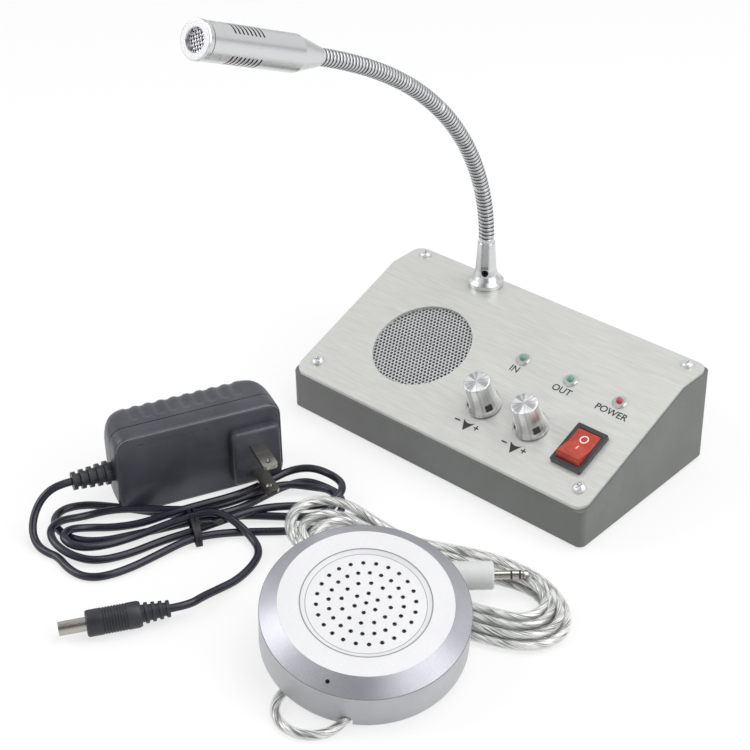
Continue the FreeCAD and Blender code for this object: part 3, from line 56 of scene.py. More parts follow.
# The CAD nodes, by name.
NODES: dict[str, Piece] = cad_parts


def linear(code: str) -> Colour:
    """Turn an sRGB hex colour into the linear colour that the shaders take.

    Args:
        code: Six hex digits, without the hash.

    Returns:
        Linear red, green, blue and an alpha of one.
    """
    parts = [int(code[i:i + 2], 16) / 255 for i in (0, 2, 4)]
    red, green, blue = [v / 12.92 if v <= 0.04045 else ((v + 0.055) / 1.055) ** 2.4 for v in parts]
    return red, green, blue, 1.0


def per_metre(millimetres: float) -> float:
    """Give the pattern scale whose features have this size.

    Args:
        millimetres: Real size of one feature.

    Returns:
        Scale for a pattern that is read in metres.
    """
    return 1.0 / (millimetres * MM)


def add_node(tree: Tree, kind: str, inputs: dict[Any, Any] | None = None,
             steps: Sequence[tuple[float, str]] = (), **settings: Any) -> bpy.types.Node:
    """Add one node, with its settings and links.

    Args:
        tree: Tree that receives the node.
        kind: Node type name.
        inputs: Socket name or index to a value, or to the output socket that feeds it.
        steps: Positions and hex colours of its ramp, where it has one.
        **settings: Properties of the node itself.

    Returns:
        The new node.
    """
    made = tree.nodes.new(kind)
    for key, value in settings.items():
        setattr(made, key, value)
    for key, value in (inputs or {}).items():
        if isinstance(value, Socket):
            tree.links.new(value, made.inputs[key])
        else:
            made.inputs[key].default_value = value
    for _ in steps[2:]:
        made.color_ramp.elements.new(0.5)
    for element, (place, code) in zip(made.color_ramp.elements if steps else (), steps):
        element.position = place
        element.color = linear(code)
    return made


def paint(tree: Tree, shader: bpy.types.Node, source: Socket, steps: Sequence[tuple[float, str]]) -> None:
    """Colour a shader by a number."""
    ramp = add_node(tree, "ShaderNodeValToRGB", {"Fac": source}, steps)
    tree.links.new(ramp.outputs["Color"], shader.inputs["Base Color"])


def gloss(tree: Tree, shader: bpy.types.Node, source: Socket, span: Pair,
          reach: Pair = (0.0, 1.0)) -> None:
    """Let a number that runs over a reach drive a shader's roughness over a span.

    Args:
        tree: Tree of the material.
        shader: Its shader.
        source: Number that drives the roughness.
        span: Roughness at the ends of the reach.
        reach: Limits of the number.
    """
    spread = add_node(tree, "ShaderNodeMapRange", {
        "Value": source, "From Min": reach[0], "From Max": reach[1], "To Min": span[0], "To Max": span[1]})
    tree.links.new(spread.outputs["Result"], shader.inputs["Roughness"])


def relief(tree: Tree, shader: bpy.types.Node, height: Socket, depth_mm: float) -> None:
    """Raise a shader's surface by a height pattern, to a real depth."""
    node = add_node(tree, "ShaderNodeBump", {"Strength": 1.0, "Distance": depth_mm * MM, "Height": height})
    tree.links.new(node.outputs["Normal"], shader.inputs["Normal"])


def object_space(tree: Tree, scale: Point) -> Socket:
    """Give the surface point in metres, scaled along each axis."""
    place = add_node(tree, "ShaderNodeTexCoord")
    return add_node(tree, "ShaderNodeMapping", {"Vector": place.outputs["Object"], "Scale": scale}).outputs[0]


@dataclass(frozen=True)
class Finish:
    """A plain surface; the other finishes add their pattern to it."""

    name: str
    colour: str
    roughness: float
    metallic: float = 0.0
    ior: float = 1.5
    coat: float = 0.0
    alpha: float = 1.0
    cloud_mm: float = 2.0

    def make(self) -> bpy.types.Material:
        """Build the material, once for each name.

        Returns:
            The material.
        """
        if self.name in bpy.data.materials:
            return bpy.data.materials[self.name]
        material = bpy.data.materials.new(self.name)
        material.use_nodes = True
        tree = material.node_tree
        shader = tree.nodes["Principled BSDF"]
        for socket, value in (("Base Color", linear(self.colour)), ("Roughness", self.roughness),
                              ("Metallic", self.metallic), ("IOR", self.ior), ("Coat Weight", self.coat),
                              ("Alpha", self.alpha)):
            shader.inputs[socket].default_value = value
        self.dress(tree, shader)
        return material

    def dress(self, tree: Tree, shader: bpy.types.Node) -> None:
        """Add the pattern; a plain surface has faint unevenness in its gloss.

        Args:
            tree: Tree of the material.
            shader: Its shader.
        """
        cloud = add_node(tree, "ShaderNodeTexNoise", {
            "Vector": object_space(tree, (1, 1, 1)), "Scale": per_metre(self.cloud_mm), "Detail": 3.0})
        gloss(tree, shader, cloud.outputs["Fac"], (self.roughness * 0.88, self.roughness * 1.12))


@dataclass(frozen=True)
class Grained(Finish):
    """Enamel or moulded plastic: a fine random grain in its bump and its colour."""

    light: str = "ffffff"
    grain_mm: float = 0.6
    depth_mm: float = 0.02
    patch_mm: float = 18.0

    def dress(self, tree: Tree, shader: bpy.types.Node) -> None:
        """Add the grain.

        Args:
            tree: Tree of the material.
            shader: Its shader.
        """
        grain, cloud = (add_node(tree, "ShaderNodeTexNoise", {
            "Vector": object_space(tree, (1, 1, 1)), "Scale": per_metre(size), "Detail": detail}).outputs[0]
            for size, detail in ((self.grain_mm, 4.0), (self.patch_mm, 2.0)))
        both = add_node(tree, "ShaderNodeMath", {0: grain, 1: cloud}, operation="MULTIPLY")
        paint(tree, shader, both.outputs[0], [(0.1, self.colour), (0.42, self.light)])
        relief(tree, shader, grain, self.depth_mm)


@dataclass(frozen=True)
class Brushed(Finish):
    """Sheet aluminium brushed along X: long fine scratches with light and dark strands."""

    light: str = "ffffff"
    stroke_mm: float = 26.0
    strand_mm: float = 0.32
    depth_mm: float = 0.012

    def dress(self, tree: Tree, shader: bpy.types.Node) -> None:
        """Add the strokes.

        Args:
            tree: Tree of the material.
            shader: Its shader.
        """
        along, across = per_metre(self.stroke_mm), per_metre(self.strand_mm)
        fine = add_node(tree, "ShaderNodeTexNoise", {
            "Vector": object_space(tree, (along, across, across)), "Scale": 1.0, "Detail": 5.0,
            "Roughness": 0.65})
        wide = add_node(tree, "ShaderNodeTexNoise", {
            "Vector": object_space(tree, (along * 0.7, across * 0.22, across * 0.22)), "Scale": 1.0,
            "Detail": 3.0})
        both = add_node(tree, "ShaderNodeMix", {
            "Factor": 0.42, "A": fine.outputs["Fac"], "B": wide.outputs["Fac"]}).outputs[0]
        paint(tree, shader, both, [(0.33, self.colour), (0.66, self.light)])
        gloss(tree, shader, both, (self.roughness * 0.85, self.roughness * 1.2), (0.3, 0.7))
        relief(tree, shader, both, self.depth_mm)


@dataclass(frozen=True)
class Spun(Finish):
    """Metal turned on a lathe about the piece's own Z: fine rings that spread the highlight round the axis,
    with light and dark sectors round the axis painted into the colour as painted highlights.
    """

    light: str = "ffffff"
    ring_mm: float = 0.14
    depth_mm: float = 0.006
    anisotropy: float = 0.75
    painted_fan_scale: float = 2.6

    def dress(self, tree: Tree, shader: bpy.types.Node) -> None:
        """Add the rings, paint light and dark sectors round the axis as painted highlights, and stretch the
        highlight across the rings.

        Args:
            tree: Tree of the material.
            shader: Its shader.
        """
        place = add_node(tree, "ShaderNodeTexCoord")
        apart = add_node(tree, "ShaderNodeSeparateXYZ", {"Vector": place.outputs["Object"]})
        flat = add_node(tree, "ShaderNodeCombineXYZ", {"X": apart.outputs["X"], "Y": apart.outputs["Y"]})
        radius = add_node(tree, "ShaderNodeVectorMath", {0: flat.outputs[0]}, operation="LENGTH")
        total = add_node(tree, "ShaderNodeCombineXYZ",
                         {"X": radius.outputs["Value"], "Z": apart.outputs["Z"]})
        rings = add_node(tree, "ShaderNodeTexNoise", {
            "Vector": total.outputs[0], "Scale": per_metre(self.ring_mm), "Detail": 2.0}).outputs["Fac"]
        heading = add_node(tree, "ShaderNodeVectorMath", {0: flat.outputs[0]}, operation="NORMALIZE")
        # Painted highlight: light and dark sectors round the axis, mixed into the colour.
        painted_fan = add_node(tree, "ShaderNodeTexNoise", {
            "Vector": heading.outputs[0], "Scale": self.painted_fan_scale, "Detail": 1.5}).outputs["Fac"]
        both = add_node(tree, "ShaderNodeMix", {"Factor": 0.78, "A": rings, "B": painted_fan})
        paint(tree, shader, both.outputs[0], [(0.4, self.colour), (0.6, self.light)])
        shader.inputs["Anisotropic"].default_value = self.anisotropy
        tangent = add_node(tree, "ShaderNodeTangent", direction_type="RADIAL", axis="Z")
        tree.links.new(tangent.outputs[0], shader.inputs["Tangent"])
        relief(tree, shader, rings, self.depth_mm)


@dataclass(frozen=True)
class TwistedWire(Finish):
    """Tinned strands under a twist: painted highlights and painted shade as long bright and dark streaks,
    laid out in the mesh's own millimetres.
    """

    dark: str = "5c5e60"
    middle: str = "aeaeac"
    streak_mm: float = 8.0
    wire_mm: float = 0.46
    depth_mm: float = 0.12

    def dress(self, tree: Tree, shader: bpy.types.Node) -> None:
        """Draw fine wires over broader strands, both stretched along the lay, as painted highlights and
        painted shade in the colour.

        Args:
            tree: Tree of the material.
            shader: Its shader.
        """
        lay = add_node(tree, "ShaderNodeTexCoord").outputs["UV"]
        layers = []
        for long, wide in ((self.streak_mm, self.wire_mm), (self.streak_mm * 2, self.wire_mm * 2.6)):
            scaled = add_node(tree, "ShaderNodeMapping", {"Vector": lay, "Scale": (1 / long, 1 / wide, 1.0)})
            layers.append(add_node(tree, "ShaderNodeTexNoise", {
                "Vector": scaled.outputs[0], "Scale": 1.0, "Detail": 2.0}).outputs["Fac"])
        both = add_node(tree, "ShaderNodeMix", {"Factor": 0.45, "A": layers[0], "B": layers[1]}).outputs[0]
        # Painted light: the dark end is painted shade between the wires, the light end painted glints.
        paint(tree, shader, both, [(0.4, self.dark), (0.46, self.middle), (0.52, self.colour)])
        relief(tree, shader, both, self.depth_mm)


# Moulded and painted grain is finer than this in truth; it is drawn as coarse as it needs to show.

# Powder-coated steel: an even mid grey with a faint orange peel.
CASE_ENAMEL = Grained("powder_coated_steel_grey", "636563", 0.46, light="6f716f", grain_mm=0.7,
                      depth_mm=0.015)
# Sheet aluminium, brushed and clear anodised: pale, with long streaks.
PANEL_ALUMINIUM = Brushed("brushed_anodised_aluminium", "c6c7c3", 0.4, metallic=0.5, light="d8d9d4",
                          stroke_mm=9.0, strand_mm=0.22)
# Perforated steel under silver lacquer: an even pale sheen between the holes.
GRILLE_LACQUER = Grained("silver_lacquered_steel", "c4c6c8", 0.4, metallic=0.5, light="d2d4d5", depth_mm=0.01)
# Zinc-plated screws: dull bright metal.
ZINC_SCREW = Finish("zinc_plated_steel", "d8d9da", 0.36, metallic=0.8)
# Satin chrome on brass, the microphone's tube and socket: soft-edged bright and dark bands.
SATIN_CHROME = Finish("satin_chromed_brass", "d6d7d8", 0.25, metallic=1.0)
# Chromed spring steel of the spiral neck: a bright line on every turn.
SPRING_CHROME = Finish("chromed_spring_steel", "cdced0", 0.24, metallic=1.0)
# Wedge wire drawn in between the turns of the neck: dull and dark, partly painted shade in the grooves, so
# each turn reads as a ring.
SPRING_GROOVE_SHADE = Finish("wedge_wire_painted_shade", "58595c", 0.42, metallic=0.8)
# Blackened steel, the grub screw and the gauze behind the slots: dark, with a dull sheen.
BLACK_STEEL = Finish("blackened_steel", "26272a", 0.45, metallic=0.7)
# Gauze woven of nickel wire: a small glint at every crossing.
GAUZE_WIRE = Finish("nickel_wire_gauze", "cfcfd4", 0.3, metallic=1.0)
# End face of the mouth, turned and left satin: a plain pale ring.
FACED_RING = Finish("faced_satin_chrome", "eae9ee", 0.42, metallic=0.45)
# Knob turned from aluminium, its top faced on the lathe: fine rings, with light and dark sectors painted into
# the colour as painted highlights.
KNOB_ALUMINIUM = Spun("spun_aluminium_knob", "b2b3b4", 0.38, metallic=1.0, light="e6e6e7")
# Nickel plate on brass, the plugs, blades and bushings: smooth, bright and slightly warm.
NICKEL_PLATE = Finish("nickel_plated_brass", "b4b1aa", 0.2, metallic=1.0)
# Tinted epoxy of the lamps: small glossy domes.
LAMP_GREEN = Finish("tinted_epoxy_green", "5f9484", 0.12, coat=0.5)
LAMP_RED = Finish("tinted_epoxy_red", "b32a48", 0.12, coat=0.5)
# Moulded black nylon of the switch: a soft sheen over a fine grain.
SWITCH_NYLON = Grained("moulded_nylon_black", "2e3033", 0.42, light="383a3d", grain_mm=0.5, depth_mm=0.01)
# Moulded red polycarbonate of the rocker: glossy, its colour a little uneven as light sinks in.
ROCKER_RED = Grained("moulded_polycarbonate_red", "9c3026", 0.24, light="bf4b3a", grain_mm=2.2, depth_mm=0.01)
# White ink in the rocker and black ink on the panel: flat and matt.
MARK_WHITE = Finish("white_ink", "f0dcd8", 0.5)
MARK_BLACK = Finish("black_screen_ink", "2b2b2d", 0.55)
# Black rubber of the feet: matt.
FOOT_RUBBER = Grained("black_rubber", "1b1b1c", 0.8, light="242425", grain_mm=0.4, depth_mm=0.02)
# Green solder mask of the circuit board, glossy, and the duller tinned parts on it.
BOARD_LACQUER = Grained("green_solder_mask", "1d5a35", 0.35, light="246a40", grain_mm=1.5, depth_mm=0.01)
PART_BRASS = Finish("tinned_brass", "a38f5a", 0.35, metallic=1.0)
# Silver paint on moulded ABS: a metallic sheen on the customer speaker's cover, less on its base.
PUCK_SILVER = Grained("silver_painted_abs", "a8a8b0", 0.4, metallic=0.75, light="bcbcc3", grain_mm=0.5,
                      depth_mm=0.008)
PUCK_SILVER_SIDE = Grained("silver_painted_abs_side", "abacaf", 0.4, metallic=0.3, light="bbbcbf",
                           grain_mm=0.5, depth_mm=0.008)
# Satin white ABS, the face of the customer speaker: near white, with soft highlights.
PUCK_WHITE = Grained("satin_white_abs", "dadadc", 0.33, light="e0e0e2", grain_mm=0.8, depth_mm=0.004)
# Black paper and cloth of the loudspeakers: matt, almost without highlights. The cloth right behind the
# grille is partly painted shade, keeping the holes dark.
CONE_PAPER = Finish("black_paper_cone", "1c1c1e", 0.8)
# Clear PVC jacket over the twisted strands: shows by its highlights alone.
CLEAR_PVC = Finish("clear_pvc_jacket", "c9cccb", 0.06, alpha=0.16, ior=1.6)
# Tinned copper strands under the clear jacket: painted highlights and painted shade as bright and dark
# streaks along their twist.
STRAND_TIN = TwistedWire("tinned_copper_strands", "f6f6f4", 0.3, metallic=0.35)
# Black PVC of the mains lead: glossy, with a faint blue cast.
BLACK_PVC = Grained("black_pvc", "181826", 0.27, light="242434", grain_mm=1.2, depth_mm=0.01)
# Black nylon of the flat tie round the hank: a little duller than the lead.
TIE_NYLON = Grained("black_nylon_tie", "17171b", 0.4, light="202024", grain_mm=0.6, depth_mm=0.01)
# Spark-eroded black ABS of the adapter: matt, with a fine grain.
ADAPTER_ABS = Grained("textured_black_abs", "2c2e36", 0.38, light="4b4d56", grain_mm=0.45,
                      depth_mm=0.04, coat=0.12)
# Moulded PVC of the plugs, black and white: soft and even.
PLUG_PVC = Grained("moulded_black_pvc", "232429", 0.42, light="2f3036", grain_mm=0.6, depth_mm=0.015)
PLUG_WHITE = Grained("moulded_white_pvc", "cbcccb", 0.45, light="d6d7d6", grain_mm=0.8, depth_mm=0.008)
# Painted highlight along the adapter's front edge: a thin pale line where the rounded edge catches the light.
PAINTED_EDGE_HIGHLIGHT = Finish("painted_edge_highlight", "6f7076", 0.3)
# Painted shade of the grooves in the white face: thin grey rings. The joint round the customer speaker's rim:
# thin and grey.
PAINTED_GROOVE_SHADE = Finish("painted_groove_shade", "8e8e92", 0.5)
JOINT_GREY = Finish("joint_shadow_grey", "77787c", 0.5)
# Painted shade in small holes and slots: dark films where their walls lie in shade.
PAINTED_HOLE_SHADE = Finish("painted_hole_shade", "3c3d40", 0.6)
# Clear polystyrene bezels of the lamps: pale glassy rings.
CLEAR_BEZEL = Finish("clear_polystyrene_bezel", "bcc0bd", 0.12, metallic=0.5, coat=0.4)

# Finish of each node of the part.
NODE_FINISHES: dict[str, Finish] = {name: finish for finish, names in (
    (CASE_ENAMEL, "housing base_plate"), (PANEL_ALUMINIUM, "top_panel"), (GRILLE_LACQUER, "speaker_grille"),
    (ZINC_SCREW, "panel_screws underside_screws"), (SATIN_CHROME, "mic_socket mic_body mic_bezel"),
    (BLACK_STEEL, "socket_screw mic_grille mic_capsule speaker_driver puck_speaker puck_mic"),
    (NICKEL_PLATE, "shaft_in shaft_out pots panel_nuts jack_pin adapter_blades dc_barrel"),
    (CLEAR_BEZEL, "led_holders"), (LAMP_GREEN, "led_green"), (LAMP_RED, "led_red"),
    (SWITCH_NYLON, "switch_body power_socket line_socket dc_insulator"), (ROCKER_RED, "switch_rocker"),
    (FOOT_RUBBER, "feet"), (BOARD_LACQUER, "circuit_board"), (PART_BRASS, "board_parts"),
    (CONE_PAPER, "speaker_cone puck_cone"), (PUCK_SILVER_SIDE, "puck_base"), (PUCK_SILVER, "puck_cover"),
    (PUCK_WHITE, "puck_face"), (PLUG_WHITE, "jack_body"), (MARK_BLACK, "jack_rings"),
    (ADAPTER_ABS, "adapter_front adapter_back"), (PLUG_PVC, "adapter_relief dc_body"),
    (TIE_NYLON, "cord_tie"),
) for name in names.split()}


def clothe(piece: Piece, finish: Finish) -> Piece:
    """Give a piece one finish all over.

    Args:
        piece: The piece.
        finish: Its finish.

    Returns:
        The piece.
    """
    piece.data.materials.clear()
    piece.data.materials.append(finish.make())
    return piece


def settle(piece: Piece, finish: Finish, slot: str, body: str, *nodes: str) -> Piece:
    """Finish a piece and hand it to the frame.

    Args:
        piece: The piece.
        finish: Its finish.
        slot: Its material slot; not used.
        body: Body that it rides on.
        *nodes: CAD nodes that it stands for.

    Returns:
        The piece.
    """
    clothe(piece, finish)
    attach(piece, body)
    if nodes:
        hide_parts(*nodes)
    LOG.info("made %s", piece.name)
    return piece


def dress_nodes() -> None:
    """Give each CAD node its finish."""
    for name, node in NODES.items():
        if name in NODE_FINISHES:
            clothe(node, NODE_FINISHES[name])
            LOG.info("dressed %s as %s", name, NODE_FINISHES[name].name)


def new_object(name: str, data: bpy.types.ID, place: Matrix | None = None) -> Piece:
    """Put new data into the scene under a name.

    Args:
        name: Name of the object.
        data: Its mesh, curve, text, light or camera.
        place: Its frame in metres, or none for the world's own.

    Returns:
        The new object.
    """
    made = bpy.data.objects.new(name, data)
    if place is not None:
        made.matrix_world = place
    bpy.context.scene.collection.objects.link(made)
    return made


def solid(name: str, points: Sequence[Vector], faces: Sequence[Sequence[int]], place: Matrix | None = None,
          sharp: float = 35.0) -> Piece:
    """Make a mesh piece from points in millimetres.

    Args:
        name: Name of the piece.
        points: Its vertices.
        faces: Vertex numbers of each face.
        place: Frame that carries the piece, in metres.
        sharp: Edges that turn by more degrees than this stay sharp.

    Returns:
        The piece.
    """
    mesh = bpy.data.meshes.new(name)
    mesh.from_pydata([Vector(p) * MM for p in points], [], [list(f) for f in faces])
    tidy = bmesh.new()
    tidy.from_mesh(mesh)
    bmesh.ops.remove_doubles(tidy, verts=tidy.verts, dist=1e-7)
    bmesh.ops.recalc_face_normals(tidy, faces=tidy.faces)
    for face in tidy.faces:
        face.smooth = True
    for edge in tidy.edges:
        edge.smooth = len(edge.link_faces) == 2 and edge.calc_face_angle(0.0) < radians(sharp)
    tidy.to_mesh(mesh)
    tidy.free()
    return new_object(name, mesh, place)


def ring_faces(rings: int, segments: int, closed: bool = False, base: int = 0) -> list[list[int]]:
    """Give the faces between rings of equal count.

    Args:
        rings: How many rings there are.
        segments: Points on each.
        closed: Whether the last ring joins the first.
        base: Number of the first ring's first point.

    Returns:
        Faces of four points.
    """
    faces = []
    for i in range(rings if closed else rings - 1):
        low, high = base + i * segments, base + (i + 1) % rings * segments
        for j in range(segments):
            ahead = (j + 1) % segments
            faces.append([low + j, low + ahead, high + ahead, high + j])
    return faces


def circle(count: int, radius: float = 1.0) -> list[Pair]:
    """Points evenly round a circle."""
    return [(radius * cos(tau * j / count), radius * sin(tau * j / count)) for j in range(count)]


def rounded_loop(sides: Sides, corner: float, y: float, steps: int) -> list[Vector]:
    """Upright rounded rectangle at one depth.

    Args:
        sides: Its left, right, low and high sides.
        corner: Radius of its corners.
        y: Depth.
        steps: Steps round each corner.

    Returns:
        Its points, from the right side up and round.
    """
    left, right, low, high = sides
    points = []
    for quarter, (x, z) in enumerate(((right - corner, high - corner), (left + corner, high - corner),
                                      (left + corner, low + corner), (right - corner, low + corner))):
        for k in range(steps + 1):
            turn = pi / 2 * (quarter + k / steps)
            points.append(Vector((x + corner * cos(turn), y, z + corner * sin(turn))))
    return points


def capped(name: str, loops: Sequence[Sequence[Vector]], place: Matrix) -> Piece:
    """Solid through a row of equal loops, closed at both ends.

    Args:
        name: Name of the piece.
        loops: Loops of points, in order along it.
        place: Frame that carries the piece, in metres.

    Returns:
        The piece.
    """
    around = len(loops[0])
    points = [point for loop in loops for point in loop]
    faces = ring_faces(len(loops), around)
    faces += [[first + j for j in range(around)] for first in (0, len(points) - around)]
    return solid(name, points, faces, place, 40.0)


def slab(name: str, x: Pair, y: Pair, z: Pair, place: Matrix) -> Piece:
    """Straight block between two limits along each axis."""
    return flat_prism(name, [(x[0], y[0]), (x[1], y[0]), (x[1], y[1]), (x[0], y[1])], *z, place)


def turned_by(place: Matrix, degrees: float, axis: str = "Z") -> Matrix:
    """Turn a frame about one of its own axes."""
    return place @ Matrix.Rotation(radians(degrees), 4, axis)


def lathe(name: str, profile: Profile, place: Matrix, segments: int = 64, sharp: float = 35.0) -> Piece:
    """Turn an open (radius, height) profile about Z; ends on the axis close."""
    points = [Vector((x, y, height)) for radius, height in profile for x, y in circle(segments, radius)]
    return solid(name, points, ring_faces(len(profile), segments), place, sharp)


def frame_at(origin: Sequence[float], x_dir: Sequence[float], z_dir: Sequence[float]) -> Matrix:
    """Frame in metres at a point in millimetres, with Z along z_dir and X near x_dir.

    Args:
        origin: Its origin in millimetres.
        x_dir: Direction near its X.
        z_dir: Direction of its Z.

    Returns:
        The frame.
    """
    z = Vector(z_dir).normalized()
    x = (Vector(x_dir) - z * Vector(x_dir).dot(z)).normalized()
    y = z.cross(x)
    matrix = Matrix((x, y, z)).transposed().to_4x4()
    matrix.translation = Vector(origin) * MM
    return matrix


def carve(piece: Piece, cutter: Piece) -> Piece:
    """Cut one piece out of another and drop the cutter.

    Args:
        piece: Piece that is cut.
        cutter: Piece that is taken away from it.

    Returns:
        The cut piece.
    """
    step = piece.modifiers.new("carve", "BOOLEAN")
    step.object = cutter
    step.solver = "EXACT"
    shape = baked(piece)
    piece.modifiers.clear()
    piece.data = shape
    bpy.data.objects.remove(cutter)
    return piece


def flat_prism(name: str, outline: Sequence[Pair], low: float, high: float,
               place: Matrix) -> Piece:
    """Upright prism on an outline given counter-clockwise.

    Args:
        name: Name of the piece.
        outline: Its corners, in millimetres.
        low: Height of its underside.
        high: Height of its top.
        place: Frame that carries the piece, in metres.

    Returns:
        The piece.
    """
    count = len(outline)
    points = [Vector((x, y, z)) for z in (low, high) for x, y in outline]
    faces = [list(range(count))[::-1], list(range(count, 2 * count))]
    faces += [[i, (i + 1) % count, count + (i + 1) % count, count + i] for i in range(count)]
    return solid(name, points, faces, place, 20.0)


def route_curve(name: str, points: Sequence[Point], radius: float, bevel: int = 4) -> Piece:
    """Cord as a curve of one open NURBS spline with a round section.

    Args:
        name: Name of the piece.
        points: Control points in millimetres.
        radius: Radius in millimetres.
        bevel: Fineness of the section.

    Returns:
        The curve object.
    """
    curve = bpy.data.curves.new(name, "CURVE")
    curve.dimensions = "3D"
    spline = curve.splines.new("NURBS")
    spline.points.add(len(points) - 1)
    for item, point in zip(spline.points, points):
        item.co = (*(Vector(point) * MM), 1.0)
    spline.order_u = 3
    spline.use_endpoint_u = True
    spline.resolution_u = 8
    curve.bevel_depth = radius * MM
    curve.bevel_resolution = bevel
    curve.use_fill_caps = True
    return new_object(name, curve)


def baked(piece: Piece) -> bpy.types.Mesh:
    """Mesh of a piece with its modifiers, bevel or text worked out."""
    bpy.context.view_layer.update()
    return bpy.data.meshes.new_from_object(piece.evaluated_get(bpy.context.evaluated_depsgraph_get()))


def line_of(curve: Piece) -> list[Vector]:
    """Read the points of a route's own line, in millimetres.

    Args:
        curve: Curve of a cord.

    Returns:
        The points, in order.
    """
    bare = new_object("line", curve.data.copy())
    bare.data.bevel_depth = 0.0
    bare.data.use_fill_caps = False
    mesh = baked(bare)
    line = [v.co.copy() / MM for v in mesh.vertices]
    bpy.data.objects.remove(bare)
    bpy.data.meshes.remove(mesh)
    return line


def evenly(line: Sequence[Vector], step: float) -> list[Vector]:
    """Walk a line in equal steps.

    Args:
        line: Points of the line.
        step: Distance between the new points.

    Returns:
        The new points.
    """
    out = [line[0].copy()]
    spare = 0.0
    for start, end in zip(line, line[1:]):
        run = (end - start).length
        at = step - spare
        while at <= run:
            out.append(start.lerp(end, at / run))
            at += step
        spare = run - (at - step)
    return out


def length_of(line: Sequence[Vector]) -> float:
    """Length of a line of points."""
    return sum((b - a).length for a, b in zip(line, line[1:]))


def carried_frames(line: Sequence[Vector]) -> list[tuple[Vector, Vector]]:
    """Two directions across the line at each point, carried along it without twist.

    Args:
        line: Points of the line.

    Returns:
        A pair of directions for each point.
    """
    frames = []
    side = None
    for i in range(len(line)):
        ahead = (line[min(i + 1, len(line) - 1)] - line[max(i - 1, 0)]).normalized()
        if side is None:
            side = ahead.cross(Vector((0, 0, 1)))
            side = side if side.length > 0.1 else ahead.cross(Vector((0, 1, 0)))
        side = (side - ahead * side.dot(ahead)).normalized()
        frames.append((side.copy(), ahead.cross(side)))
    return frames


